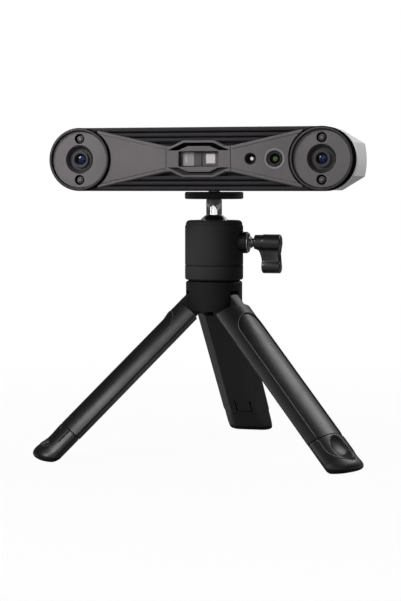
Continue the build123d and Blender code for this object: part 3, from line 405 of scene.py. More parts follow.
def new_material(name: str) -> tuple[bpy.types.Material, Graph, Node]:
    """New material.

    Args:
        name: Its name.

    Returns:
        The material, its graph and its surface shader.
    """
    material = bpy.data.materials.new(name)
    material.use_nodes = True
    graph = Graph(material.node_tree)
    return material, graph, graph.find("BSDF_PRINCIPLED")


class Effect:
    """A shader effect that several finishes share, built once as a node group."""

    title = "effect"
    takes: tuple[tuple[str, float], ...] = ()
    gives: tuple[tuple[str, str], ...] = ()

    def wire(self, graph: Graph, take: Any) -> dict[str, Any]:
        """Builds the effect from the group's inputs, and gives what feeds each output."""
        raise NotImplementedError

    def group(self) -> bpy.types.NodeTree:
        """Makes the node group on first use.

        Returns:
            The node group.
        """
        found = bpy.data.node_groups.get(self.title)
        if found:
            return found
        tree = bpy.data.node_groups.new(self.title, "ShaderNodeTree")
        sockets = tree.interface
        for name, value in self.takes:
            socket = sockets.new_socket(name=name, in_out="INPUT", socket_type="NodeSocketFloat")
            socket.default_value = value
        for name, kind in self.gives:
            sockets.new_socket(name=name, in_out="OUTPUT", socket_type="NodeSocket" + kind)
        graph = Graph(tree)
        start, end = (tree.nodes.new("NodeGroup" + word) for word in ("Input", "Output"))
        graph.feed(end, self.wire(graph, start.outputs))
        return tree

    def place(self, graph: Graph, **values: Any) -> Any:
        """Puts the group into a material with its own values, and gives its outputs."""
        return graph.add("Group", values, node_tree=self.group()).outputs


class MouldGrain(Effect):
    """Fine leathery grain of moulded or bead-blasted surfaces, with slow uneven tone."""

    title = "mould grain"
    takes = (("Scale", 2200.0), ("Drift", 45.0))
    gives = (("Height", "Float"), ("Tone", "Float"))
    cells_finer = 1.7
    cells_share = 0.6

    def wire(self, graph: Graph, take: Any) -> dict[str, Any]:
        """Adds fine cells to fine noise for the height, and takes slow noise for the tone.

        Args:
            graph: The group's graph.
            take: The group's inputs.

        Returns:
            What feeds each output.
        """
        place = graph.add("TexCoord").outputs["Object"]
        noise = graph.add("TexNoise", {"Vector": place, "Scale": take["Scale"], "Detail": 3.0})
        finer = graph.math("MULTIPLY", take["Scale"], self.cells_finer)
        cells = graph.add("TexVoronoi", {"Vector": place, "Scale": finer})
        drift = graph.add("TexNoise", {"Vector": place, "Scale": take["Drift"], "Detail": 4.0})
        height = graph.line(cells.outputs["Distance"], self.cells_share, noise.outputs["Fac"])
        return {"Height": height, "Tone": graph.ramp(drift.outputs["Fac"], 0.3, 0.7)}


class EdgeTouch(Effect):
    """Softened edges: a normal that rounds sharp edges, and a mask of where they are."""

    title = "edge touch"
    takes = (("Radius", 0.0003),)
    gives = (("Edge", "Float"), ("Normal", "Vector"))

    def wire(self, graph: Graph, take: Any) -> dict[str, Any]:
        """The mask is one minus the dot product of the rounded and the true normal.

        Args:
            graph: The group's graph.
            take: The group's inputs.

        Returns:
            What feeds each output.
        """
        soft = graph.add("Bevel", {"Radius": take["Radius"]}, samples=6).outputs["Normal"]
        true = graph.add("NewGeometry").outputs["Normal"]
        bend = graph.math("SUBTRACT", 1.0, graph.dot(soft, true))
        return {"Edge": graph.ramp(bend, 0.02, 0.25), "Normal": soft}


class TurnedRings(Effect):
    """Fine rings left by turning, along the rows of a turned piece's own map."""

    title = "turned rings"
    takes = (("Pitch", 9000.0),)
    gives = (("Height", "Float"), ("Streak", "Float"))
    stretch = (0.002, 1.0, 1.0)
    slower = 0.12

    def wire(self, graph: Graph, take: Any) -> dict[str, Any]:
        """Noise stretched along the columns, so that it changes only from row to row.

        Args:
            graph: The group's graph.
            take: The group's inputs.

        Returns:
            What feeds each output.
        """
        chart = graph.add("TexCoord").outputs["UV"]
        rows = graph.add("Mapping", {"Vector": chart, "Scale": self.stretch})
        slow = graph.math("MULTIPLY", take["Pitch"], self.slower)
        fine, streak = (
            graph.add("TexNoise", {"Vector": rows, "Scale": scale, "Detail": 2.0}).outputs["Fac"]
            for scale in (take["Pitch"], slow)
        )
        return {"Height": fine, "Streak": streak}


class HandHaze(Effect):
    """Faint smears where a hand has held the piece."""

    title = "hand haze"
    takes = (("Scale", 60.0),)
    gives = (("Haze", "Float"),)

    def wire(self, graph: Graph, take: Any) -> dict[str, Any]:
        """Slow noise bent by itself, cut to its upper part.

        Args:
            graph: The group's graph.
            take: The group's inputs.

        Returns:
            What feeds each output.
        """
        place = graph.add("TexCoord").outputs["Object"]
        smear = graph.add("TexNoise", {
            "Vector": place, "Scale": take["Scale"], "Detail": 5.0, "Distortion": 1.2,
        })
        return {"Haze": graph.ramp(smear.outputs["Fac"], 0.45, 0.75)}


GRAIN = MouldGrain()
EDGE = EdgeTouch()
RINGS = TurnedRings()
HAZE = HandHaze()


# Finishes


@dataclass(frozen=True)
class Finish:
    """A finish that makes one material of its own name.

    Attributes:
        name: The material's name.
        colour: Linear colour of the surface.
        rough: Roughness of the surface.
    """

    name: str
    colour: Vec
    rough: float

    def shade(self, factor: float) -> Rgba:
        """The finish's colour times a factor."""
        return rgba(*(min(1.0, value * factor) for value in self.colour))

    def inputs(self, graph: Graph) -> dict[str, Any]:
        """Builds the finish's nodes, and gives what feeds each input of the surface shader."""
        raise NotImplementedError

    def material(self) -> bpy.types.Material:
        """Makes the material on first use.

        Returns:
            The finished material.
        """
        found = bpy.data.materials.get(self.name)
        if found:
            return found
        material, graph, shader = new_material(self.name)
        graph.feed(shader, {"Base Color": rgba(*self.colour), "Roughness": self.rough})
        graph.feed(shader, self.inputs(graph))
        return material


@dataclass(frozen=True)
class Grained(Finish):
    """Moulded plastic, rubber or fine paint with a grain, soft edges and faint smears; the edges
    are painted lighter, partly as wear and partly as a painted highlight.

    Attributes:
        specular: Specular level of the surface.
        edge: How much lighter the edges are, partly wear and partly a painted highlight.
        bump: Height of the grain in microns.
        drift: Strength of the slow change of tone.
        scale: Grain cells to the metre.
        edge_radius: Rounding of sharp edges in metres.
        haze: How much smears roughen the surface.
    """

    specular: float = 0.4
    edge: float = 1.5
    bump: float = 20.0
    drift: float = 0.12
    scale: float = 2400.0
    edge_radius: float = 0.00035
    haze: float = 0.08

    def inputs(self, graph: Graph) -> dict[str, Any]:
        """Grain and soft edges feed the normal, edges (lighter as wear and as a painted highlight)
        and tone the colour, smears the roughness.

        Args:
            graph: The material's graph.

        Returns:
            What feeds each input of the surface shader.
        """
        grain = GRAIN.place(graph, Scale=self.scale)
        edge = EDGE.place(graph, Radius=self.edge_radius)
        smear = HAZE.place(graph)
        tone = graph.mix(grain["Tone"], self.shade(1 - self.drift), self.shade(1 + self.drift))
        bump = graph.add("Bump", {
            "Height": grain["Height"], "Normal": edge["Normal"], "Distance": self.bump * MICRON,
        })
        return {
            # painted highlight, partly wear: edges are lighter in colour by the edge factor
            "Base Color": graph.mix(edge["Edge"], tone, self.shade(self.edge)),
            "Roughness": graph.line(smear["Haze"], self.haze, self.rough),
            "Normal": bump,
            "Specular IOR Level": self.specular,
        }


@dataclass(frozen=True)
class Turned(Finish):
    """Turned metal or turned black parts with fine rings.

    Attributes:
        metallic: How metallic the surface is.
        specular: Specular level of the surface.
        bump: Height of the rings in microns.
        streak: How much the rings change the roughness.
        pitch: Rings to the metre.
        grain: Grain cells for each ring.
        drift: Strength of the slow change of tone.
    """

    metallic: float = 1.0
    specular: float = 0.5
    bump: float = 4.0
    streak: float = 0.1
    pitch: float = 9000.0
    grain: float = 0.4
    drift: float = 0.1

    def inputs(self, graph: Graph) -> dict[str, Any]:
        """Rings feed the normal and the roughness, slow tone the colour.

        Args:
            graph: The material's graph.

        Returns:
            What feeds each input of the surface shader.
        """
        rings = RINGS.place(graph, Pitch=self.pitch)
        tone = GRAIN.place(graph, Scale=self.pitch * self.grain)["Tone"]
        bump = graph.add("Bump", {"Height": rings["Height"], "Distance": self.bump * MICRON})
        return {
            "Base Color": graph.mix(tone, self.shade(1 - self.drift), self.shade(1 + self.drift)),
            "Roughness": graph.line(rings["Streak"], self.streak, self.rough),
            "Normal": bump,
            "Metallic": self.metallic,
            "Specular IOR Level": self.specular,
        }


@dataclass(frozen=True)
class Optic(Finish):
    """Coated dark glass or a thin pane, with a coloured reflection and faint dust.

    Attributes:
        tint: Colour of the reflection.
        alpha: How much a thin pane hides what is behind it.
        index: Refractive index.
        dust_scale: Dust marks to the metre.
        dust: How much dust roughens the surface.
        dull: Colour of dusty places as a share of the clean ones.
    """

    tint: Vec = (0.5, 0.5, 0.5)
    alpha: float = 1.0
    index: float = 1.52
    dust_scale: float = 400.0
    dust: float = 0.01
    dull: float = 0.94

    def inputs(self, graph: Graph) -> dict[str, Any]:
        """Faint dust feeds the colour and the roughness; the tint is set on the shader.

        Args:
            graph: The material's graph.

        Returns:
            What feeds each input of the surface shader.
        """
        dust = HAZE.place(graph, Scale=self.dust_scale)["Haze"]
        return {
            "Base Color": graph.mix(dust, self.shade(1.0), self.shade(self.dull)),
            "Roughness": graph.line(dust, self.dust, self.rough),
            "Alpha": self.alpha,
            "IOR": self.index,
            "Specular Tint": rgba(*self.tint),
        }


@dataclass(frozen=True)
class Board(Finish):
    """Circuit board with copper lines under its mask.

    Attributes:
        pitch: Lines to the metre.
        gap: Share of the gap between lines.
        line: Colour of the lines as a multiple of the board's.
        bump: Height of the lines in microns.
    """

    pitch: float = 700.0
    gap: float = 0.08
    line: float = 1.7
    bump: float = 30.0

    def inputs(self, graph: Graph) -> dict[str, Any]:
        """Bricks stand for the copper lines in colour and height.

        Args:
            graph: The material's graph.

        Returns:
            What feeds each input of the surface shader.
        """
        place = graph.add("TexCoord").outputs["Object"]
        upright = graph.add("Mapping", {"Vector": place, "Rotation": (radians(90), 0, 0)})
        bricks = {"Vector": upright, "Scale": self.pitch, "Mortar Size": self.gap}
        lines = graph.add("TexBrick", bricks).outputs["Fac"]
        return {
            "Base Color": graph.mix(lines, self.shade(1.0), self.shade(self.line)),
            "Normal": graph.add("Bump", {"Height": lines, "Distance": self.bump * MICRON}),
        }


class Finishes:
    """Every finish of the object, by what it covers: name, colour, roughness and the rest."""

    # Scanner
    front = Grained("warm grey front paint", (0.105, 0.096, 0.101), 0.55, specular=0.3, edge=1.7)
    # dull black, used also as painted shade: upper ramp, rim lines, lamp gaps and housing band
    ramp = Grained("dull black ramp", BLACK, 0.6, specular=0.0, edge=1.3)
    fins = Grained("dark finned housing", (0.034, 0.032, 0.0347), 0.6, specular=0.0, edge=1.8)
    disc = Grained("warm grey disc paint", (0.115, 0.105, 0.110), 0.52, specular=0.3)
    rim = Grained("grey rim", (0.058, 0.0535, 0.056), 0.5, specular=0.06, edge=2.2)
    cover = Grained(
        "silver cover paint", (0.56, 0.555, 0.566), 0.55, specular=0.15, edge=1.2, drift=0.04)
    button = Grained("dark grey button", (0.055, 0.053, 0.055), 0.45)
    pale = Grained("milky light pipe", (0.62, 0.70, 0.66), 0.25, edge=1.1, drift=0.03)
    chip = Grained("black chip", (0.02, 0.02, 0.021), 0.5, scale=5000.0)
    bar = Grained("milled bar", (0.50, 0.50, 0.51), 0.4, specular=0.6)
    board = Board("green circuit board", (0.018, 0.10, 0.04), 0.35)
    white = Grained("white lamp face", (0.90, 0.90, 0.89), 0.35, edge=1.0, drift=0.02)
    module = Grained(
        "grey projector face", (0.40, 0.382, 0.395), 0.3, specular=0.2, edge=1.1, drift=0.05)
    module_dark = Grained(
        "dark projector face", (0.115, 0.108, 0.113), 0.3, specular=0.2, edge=1.3)
    module_pale = Grained(
        "pale projector square", (0.82, 0.755, 0.78), 0.22, edge=1.0, drift=0.03)
    barrel = Turned("black lens tube", (0.020, 0.019, 0.020), 0.42, metallic=0.0, specular=0.25)
    tube = Turned("dark lens tube", (0.042, 0.040, 0.042), 0.4, metallic=0.0, specular=0.2)
    ring = Turned("grey camera ring", (0.20, 0.193, 0.197), 0.4, metallic=0.0, specular=0.3)
    window = Optic("window glass", (0.02, 0.02, 0.02), 0.02, (0.6, 0.6, 0.6), alpha=0.1)
    front_glass = Optic("blue coated lens", (0.003, 0.006, 0.020), 0.07, (0.40, 0.58, 1.0))
    inner_blue = Optic("blue inner lens", (0.004, 0.008, 0.030), 0.5, (0.1, 0.2, 0.5))
    # painted reflection: the green-yellow colour stands for the lens's glint; the tint is its real
    # reflection
    green_glint_glass = Optic("green coated lens", (0.06, 0.095, 0.028), 0.08, (0.28, 0.55, 0.18))
    lamp_glass = Optic("lamp dome", (0.13, 0.127, 0.131), 0.14)
    # Ball head
    shell = Turned(
        "black head shell", (0.028, 0.0266, 0.028), 0.46, metallic=0.0, specular=0.02, bump=2.0)
    plate = Turned("black plate", (0.005, 0.005, 0.0053), 0.3, metallic=0.0, specular=0.2)
    chrome = Turned("polished chrome", (0.80, 0.80, 0.81), 0.05, bump=0.5, streak=0.03)
    seat = Grained("pale bearing plastic", (0.36, 0.35, 0.33), 0.4)
    knob = Grained(
        "gloss black knob", (0.006, 0.006, 0.0065), 0.26, specular=0.45, edge=1.6, bump=4.0)
    steel = Turned("bright screw steel", (0.56, 0.56, 0.57), 0.24)
    thread = Turned("dark clamp thread", (0.30, 0.30, 0.31), 0.28)
    bevel = Turned("bright bevel", (0.34, 0.335, 0.34), 0.25)
    brass = Turned("turned brass", (0.62, 0.45, 0.18), 0.25)
    # Tripod
    leg = Grained("satin black leg", BLACK, 0.37, specular=0.24, edge=3.0, bump=2.0)
    foot = Grained("satin black foot", BLACK, 0.37, specular=0.24, edge=2.4, bump=2.0)
    # painted highlight: a bead ten times lighter than the leg draws the panel edge's light line
    bead = Grained(
        "panel edge bead", (0.040, 0.038, 0.040), 0.45, specular=0.3, edge=1.0, bump=2.0)
    hub = Grained(
        "satin black hub", (0.010, 0.0095, 0.010), 0.45, specular=0.08, edge=2.5, bump=6.0)
    sole = Grained(
        "black rubber sole", (0.006, 0.006, 0.006), 0.75, specular=0.1, bump=40.0, scale=1500.0)


def dress(piece: Piece, finish: Finish) -> None:
    """Gives a piece one finish in every material slot.

    Args:
        piece: The piece.
        finish: Its finish.
    """
    if not piece.data.materials:
        piece.data.materials.append(finish.material())
    for index in range(len(piece.data.materials)):
        piece.data.materials[index] = finish.material()


def dress_nodes(table: dict[str, Finish]) -> None:
    """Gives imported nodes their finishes.

    Args:
        table: The finish of each node.
    """
    for name, finish in table.items():
        dress(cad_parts[name], finish)
        LOG.info("%s keeps its shape", name)


def add_piece(
    name: str, grids: Sequence[Grid], body: str, finish: Finish,
    stands_for: str = "", crease: float = CREASE,
) -> None:
    """Makes a new piece, dresses it, rides it on a body and hides the node that it stands for.

    Args:
        name: Name of the piece.
        grids: Its surfaces, in millimetres.
        body: The body that it moves with.
        finish: Its finish.
        stands_for: The node that it takes the place of, if any.
        crease: Edges that bend more than this many degrees stay sharp.
    """
    piece = make_piece(name, grids, crease)
    dress(piece, finish)
    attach(piece, body)
    if stands_for:
        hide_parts(stands_for)
    LOG.info("%s rides on %s", name, body)


# Scanner


@dataclass
class LensEnd:
    """Round end of the scanner: rim, funnel, lens tube, glasses and two lamps, in millimetres.

    Depths count from the front panel's face towards the back.

    Attributes:
        side: Which end it is.
        rim_outer: Outside radius of the raised rim.
        rim_inner: Inside radius of the rim.
        rim_front: Depth of the rim's front.
        rim_back: Depth of the rim's back.
        rim_round: Rounding of the rim's outer corner.
        recess: Radius of the disc's lens opening.
        tube: Outside radius of the lens tube.
        tube_back: Depth of the tube's back.
        mouth: Outside radius of the tube's raised ring.
        throat: Inside radius of the raised ring.
        glass: Radius of the front lens.
        bore: Radius of the tube's bore behind the front lens.
        ridges: Fine light-trap ridges in the mouth.
        lamp_up: Height of the lamps above and below the lens.
        lamp: Radius of a lamp's dome.
    """

    side: Side
    rim_outer: float = 17.0
    rim_inner: float = 15.6
    rim_front: float = -1.3
    rim_back: float = 3.0
    rim_round: float = 1.1
    recess: float = 7.7
    tube: float = 5.9
    tube_back: float = 13.0
    mouth: float = 4.55
    throat: float = 3.4
    glass: float = 2.75
    bore: float = 2.3
    ridges: int = 7
    lamp_up: float = 11.1
    lamp: float = 2.3

    @property
    def centre(self) -> Vec:
        """Lens axis on the plane of the front panel's face."""
        return (self.side.value * LENS_X, FRONT_Y, SCANNER_Z)

    def turned(self, profile: Array, segments: int = 96, closed: bool = True) -> Grid:
        """Surface turned about the lens axis, with heights as depths."""
        return lathe(profile, self.centre, Axis.BACK, segments, closed)

    def at_lamps(self, corners: Sequence[Vec]) -> list[Grid]:
        """One turned ring on each of the two lamps' axes.

        Args:
            corners: Radius, depth and rounding of each corner of the ring's section.

        Returns:
            The two grids.
        """
        x, y, z = self.centre
        places = [(x, y, z + self.lamp_up), (x, y, z - self.lamp_up)]
        return [lathe(rounded(corners), place, Axis.BACK, 40) for place in places]

    def rim_profile(self) -> Array:
        """Section of the raised rim: a soft inner and a round outer corner.

        Returns:
            The section's radii and depths.
        """
        return rounded([
            (self.rim_inner, self.rim_back, 0), (self.rim_inner, self.rim_front, 0.2),
            (self.rim_outer, self.rim_front, self.rim_round), (self.rim_outer, self.rim_back, 0),
        ], 10)

    def funnel_profile(self) -> Array:
        """Section of the funnel round the lens: a slanting face, with its back in the recess.

        Returns:
            The section's radii and depths.
        """
        wall = self.recess - 0.02
        return rounded([
            (7.35, 0.4, 0.1), (5.95, 2.0, 0.1), (5.95, 2.9, 0),
            (wall, 2.9, 0), (wall, 1.5, 0), (7.4, 1.5, 0),
        ])

    def tube_profile(self) -> Array:
        """Section of the tube: low outer step, raised inner ring, ridged cone, bore.

        The cone's depth is a straight line in the radius plus a triangle wave, one to a ridge.

        Returns:
            The section's radii and depths.
        """
        lip, cone_front, glass_back = self.throat - 0.05, 1.5, 4.9
        outer = rounded([
            (self.tube, self.tube_back, 0), (self.tube, 2.3, 0.15), (self.mouth + 0.1, 2.5, 0.05),
            (self.mouth, 1.3, 0.25), (self.throat, 1.3, 0.12), (lip, cone_front, 0),
        ], closed=False)
        share = np.linspace(0, 1, 4 * self.ridges + 1)[1:]
        wave = np.abs((share * self.ridges) % 1.0 - 0.5)
        cone = stacked(lip - share * (lip - self.glass), cone_front + 1.4 * share + 0.1 * wave)
        bore = [(self.glass, glass_back), (self.bore, glass_back), (self.bore, self.tube_back)]
        return np.vstack([outer, cone, bore])

    def rim_shade(self) -> Grid:
        """Painted shadow: a dark line at the rim's foot on the disc, a turned ring."""
        return self.turned(section(self.rim_inner - 0.45, self.rim_inner, 0.12, 0.3), 144)

    def rim_wall_painted_shade(self) -> Grid:
        """Painted shade: a thin black skin on the rim's outer wall that runs half way round its
        outer corner.

        Returns:
            A ring turned from two arcs about the corner's middle, joined at the rim's back.
        """
        turn = np.linspace(0, radians(48), 8)
        corner = stacked(np.cos(turn), -np.sin(turn))
        middle = np.array([self.rim_outer - self.rim_round, self.rim_front + self.rim_round])
        proud, sunk = self.rim_round + 0.04, self.rim_round - 0.1
        return self.turned(np.vstack([
            [(middle[0] + proud, self.rim_back)], middle + proud * corner,
            middle + sunk * corner[::-1], [(middle[0] + sunk, self.rim_back)],
        ]), 144)

    def panel_shade(self) -> Grid:
        """Painted shadow: a dark line at the rim's foot on the panel, along the arc that faces the
        middle.

        Returns:
            A square section carried along the arc.
        """
        turn = np.linspace(-0.85, 0.85, 60)[:, None]
        radius, depth = section(self.rim_outer, self.rim_outer + 0.55, -0.06, 0.1).T
        x, y, z = self.centre
        inwards = x - self.side.value * radius * np.cos(turn)
        return capped(stacked(inwards, y + depth, z + radius * np.sin(turn)))

    def add(
        self, word: str, grids: Sequence[Grid], finish: Finish, slot: str,
        stands_for: str = "", crease: float = CREASE,
    ) -> None:
        """Puts one piece on the scanner, named for its side.

        Args:
            word: Name of the piece without its side.
            grids: Its surfaces, in millimetres.
            finish: Its finish.
            slot: The record's material slot that matches the finish. Not used.
            stands_for: The node that it takes the place of, without its side, if any.
            crease: Edges that bend more than this many degrees stay sharp.
        """
        side = self.side.word + "_"
        node = side + stands_for if stands_for else ""
        add_piece(side + word, grids, "scanner", finish, node, crease)

    def build(self) -> None:
        """Makes the end's turned pieces and puts them on the scanner."""
        front = lens(self.glass - 0.02, 0.9, 2.2, 4.6)
        inner = lens(self.bore - 0.02, 0.9, 5.2, 7.0)
        marks = [(0.85, 0.75, 0.05), (1.25, 0.82, 0.05), (1.25, 1.2, 0), (0.85, 1.2, 0)]
        # painted shade: black rings fill the gap round each lamp's dome
        low, high = self.lamp - 0.5, self.lamp + 0.42
        gap_shade_rings = [(low, 1.05, 0.1), (high, 0.6, 0.1), (high, 1.9, 0), (low, 1.9, 0)]
        # painted shadow and shade in dull black: the rim's foot lines, its outer wall and the panel
        # arc
        shades = [self.rim_shade(), self.rim_wall_painted_shade(), self.panel_shade()]
        self.add("rim", [self.turned(self.rim_profile(), 144)], Finishes.rim,
                 "lens_rim", "lens_rim")
        self.add("funnel", [self.turned(self.funnel_profile())], Finishes.barrel, "lens_barrel")
        self.add("tube", [self.turned(self.tube_profile())], Finishes.tube,
                 "lens_barrel", "lens_barrel", 25.0)
        self.add("front_glass", [self.turned(front, 64, False)], Finishes.front_glass,
                 "lens_glass", "lens_glass")
        self.add("inner_glass", [self.turned(inner, 64, False)], Finishes.inner_blue, "lens_glass")
        self.add("lamp_marks", self.at_lamps(marks), Finishes.barrel, "lens_barrel")
        self.add("lamp_gap_painted_shades", self.at_lamps(gap_shade_rings), Finishes.ramp, "lens_barrel")
        self.add("rim_shades", shades, Finishes.ramp, "lens_barrel")

    def dress(self) -> None:
        """Gives the end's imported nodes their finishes."""
        word = self.side.word
        dress_nodes({f"{word}_lens_disc": Finishes.disc, f"{word}_camera_board": Finishes.board})


@dataclass
class ScannerFront:
    """What sits in the middle of the scanner's front, and the bands round its housing.

    Attributes:
        flash_x: Flash lamp from the middle.
        colour_x: Colour camera from the middle.
        face: Depth of the projectors' faces behind the panel's.
        lip: Broken line of the window lip's edge, across and up.
        foot: Broken line of the bridge's foot, across and up.
        wire: Radius of the wavy wire on the line projector.
        band_inner: Inside radius of the bands.
        band_outer: Outside radius of the bands.
        fins_end: Depth at which the housing's fins end.
        split: Depth at which the black band ends and the silver one starts.
        housing_end: Depth of the housing's rear edge.
        turn_in: Radius that the silver band turns in to behind the housing.
    """

    flash_x: float = 28.3
    colour_x: float = 41.3
    face: float = 2.5
    lip: Sequence[Sequence[float]] = ((-17.1, -7.85, 7.85, 17.1), (4.55, 8.65, 8.65, 4.55))
    foot: Sequence[Sequence[float]] = ((-11.3, -5.95, 5.95, 11.3), (4.55, 6.85, 6.85, 4.55))
    wire: float = 0.13
    band_inner: float = 16.9
    band_outer: float = 17.05
    fins_end: float = 3.1
    split: float = 8.9
    housing_end: float = 15.0
    turn_in: float = 14.0

    def band_grid(self, loop: Array) -> Grid:
        """Thin band round the housing behind its fins.

        Its outline is two half circles about the lens axes, joined by straight lines.

        Args:
            loop: Radius and depth of each point of its section.

        Returns:
            The closed grid, one row for each point of the section.
        """
        count = 60
        turn = np.linspace(-np.pi / 2, np.pi / 2, count)
        right = stacked(np.cos(turn), np.sin(turn))
        ring = np.concatenate([right, -right])
        shift = np.repeat([LENS_X, -LENS_X], count)
        radius, depth = loop[:, :1], loop[:, 1:]
        points = stacked(
            shift + radius * ring[:, 0], FRONT_Y + depth, SCANNER_Z + radius * ring[:, 1])
        return Grid(points, wrap_rows=True, wrap_columns=True)

    def build_bands(self) -> None:
        """Dull black band behind the fins, a painted shade on the housing's end wall, then a silver
        one that turns in to meet the cover.
        """
        inner, outer, far = self.band_inner, self.band_outer, self.housing_end + 0.04
        near = self.housing_end - 0.02
        straight = section(inner, outer, self.fins_end, self.split)
        angled = np.array([
            (inner, self.split), (outer, self.split), (outer, far), (self.turn_in, far),
            (self.turn_in, near), (inner, near),
        ])
        for name, loop, finish, slot in (
            # painted shade: the black band is darker than the housing's own finish
            ("housing_painted_shade_band", straight, Finishes.ramp, "front_housing"),
            ("cover_band", angled, Finishes.cover, "rear_cover"),
        ):
            add_piece(name, [self.band_grid(loop)], "scanner", finish)

    def ramp_grid(self, up: int) -> Grid:
        """Slanting floor of a sunken band: straight lines from the lip's edge to the bridge's foot.

        Both edges are broken lines through four corners, and the depth grows between them.

        Args:
            up: One for the upper band, minus one for the lower.

        Returns:
            The closed grid.
        """
        share = np.linspace(0, 3, 61)
        lip, foot = (
            stacked(*(np.interp(share, np.arange(4), values) for values in edge))
            for edge in (self.lip, self.foot)
        )
        loop = np.stack([lip, foot, foot, lip], axis=1)
        depth = np.array([0.12, 1.8, 1.88, 1.88])
        return capped(stacked(loop[..., 0], FRONT_Y + depth, SCANNER_Z + up * loop[..., 1]))

    def build_ramps(self) -> None:
        """Dark slanting floors in the bands above and below the window's bridge; the upper one is
        black as a painted shade, the lower one the housing's grey.
        """
        # painted shade: the downward-facing upper floor gets the black finish
        for name, up, finish in (("upper", 1, Finishes.ramp), ("lower", -1, Finishes.fins)):
            add_piece(f"{name}_ramp", [self.ramp_grid(up)], "scanner", finish)

    def tile(self, x: float, z: float, width: float, height: float, thick: float) -> Grid:
        """Thin tile on a projector's face: point = outline - inset(v) * outward, at depth(v).

        Args:
            x: Its middle from the scanner's middle.
            z: Its middle above the scanner's middle line.
            width: Its width.
            height: Its height.
            thick: How far it stands before the projector's face.

        Returns:
            The closed grid.
        """
        outline = rectangle(width, height, 0.25)
        depths = thick * np.array([-1.0, -1.0, -0.6, 0.0])[:, None]
        insets = np.array([0.12, 0.08, 0.0, 0.0])[:, None, None]
        flat = outline - insets * outward(outline)
        return capped(stacked(
            x + flat[..., 0], FRONT_Y + self.face + depths, SCANNER_Z + z + flat[..., 1]))

    def filament(self) -> Grid:
        """Thin wavy wire on the line projector's tile: x = 0.35 * sin(4 * z) about its middle.

        Returns:
            The closed grid.
        """
        rise = np.linspace(-2.3, 2.3, 60)
        across = -7.1 + 0.35 * np.sin(4 * rise)
        path = stacked(across, FRONT_Y + self.face - 0.3, SCANNER_Z + rise)
        forward = np.full_like(path, (0.0, 1.0, 0.0))
        side = np.cross(unit(np.gradient(path, axis=0)), forward)
        return tube(path, side, forward, self.wire, 8)

    def build_projectors(self) -> None:
        """Light and dark tiles on the line projector, a framed square on the other, and a wire."""
        for name, sizes, finish, slot in (
            ("line_tile", (-5.95, 0.0, 6.2, 7.4, 0.25), Finishes.module, "projector_grey"),
            ("dark_tile", (-0.75, 0.0, 4.0, 7.4, 0.2), Finishes.module_dark, "projector_grey"),
            ("square_frame", (6.0, 0.0, 8.6, 7.6, 0.15), Finishes.module_dark, "projector_grey"),
            ("square_face", (6.2, 0.2, 5.1, 5.2, 0.3), Finishes.module_pale, "projector_pale"),
        ):
            add_piece(name, [self.tile(*sizes)], "scanner", finish)
        add_piece("line_filament", [self.filament()], "scanner", Finishes.module_pale,
                  crease=60.0)

    def build_flash(self) -> None:
        """Black cup with a white emitter in it."""
        cup = np.vstack([dome(3.0, -3.2, 4.4), [(3.08, 1.2), (3.08, 5.5), (0.0, 5.5)]])
        emitter = np.array([(0.0, 1.9), (0.7, 2.0), (1.05, 2.3), (1.1, 4.2), (0.0, 4.2)])
        spot = (self.flash_x + 0.35, FRONT_Y, SCANNER_Z + 0.1)
        bowl = lathe(cup, (self.flash_x, FRONT_Y, SCANNER_Z), Axis.BACK, 56, False)
        add_piece("flash_cup", [bowl], "scanner", Finishes.barrel, "flash_lamp")
        add_piece("flash_emitter", [lathe(emitter, spot, Axis.BACK, 40, False)], "scanner",
                  Finishes.white)

    def build_colour_camera(self) -> None:
        """Funnel ring, tube, and coated glass behind a black iris; the glass's green colour is a
        painted glint.
        """
        ring = rounded([
            (5.5, 3.0, 0), (5.5, -0.15, 0.2), (4.4, -0.05, 0.2), (4.4, 1.8, 0.1),
            (3.9, 1.9, 0), (3.9, 3.0, 0),
        ])
        barrel = rounded([
            (3.8, 10.0, 0), (3.8, 0.9, 0.2), (2.9, 0.9, 0.15), (2.52, 1.6, 0.05), (2.52, 10.0, 0),
        ])
        glass = lens(2.5, 0.7, 1.5, 3.1, 12)
        iris = rounded([(1.35, 1.5, 0.04), (2.5, 1.25, 0), (2.5, 2.0, 0), (1.35, 1.66, 0)])
        centre = (self.colour_x, FRONT_Y, SCANNER_Z)
        for word, profile, segments, closed, finish, slot, node in (
            ("ring", ring, 96, True, Finishes.ring, "colour_ring", "colour_camera_ring"),
            ("tube", barrel, 96, True, Finishes.barrel, "lens_barrel", "colour_camera_barrel"),
            ("glass", glass, 56, False, Finishes.green_glint_glass, "colour_lens_glass",
             "colour_camera_glass"),
            ("iris", iris, 56, True, Finishes.ramp, "lens_barrel", ""),
        ):
            grid = lathe(profile, centre, Axis.BACK, segments, closed)
            add_piece(f"camera_{word}", [grid], "scanner", finish, node)

    def build(self) -> None:
        """Makes every new piece of the front."""
        self.build_bands()
        self.build_ramps()
        self.build_projectors()
        self.build_flash()
        self.build_colour_camera()

    def dress(self) -> None:
        """Gives the front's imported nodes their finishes."""
        dress_nodes({
            "front_panel": Finishes.front,
            "front_housing": Finishes.fins,
            "projector_window": Finishes.window,
            "line_projector": Finishes.module_dark,
            "pattern_projector": Finishes.module_dark,
            "lamps": Finishes.lamp_glass,
        })


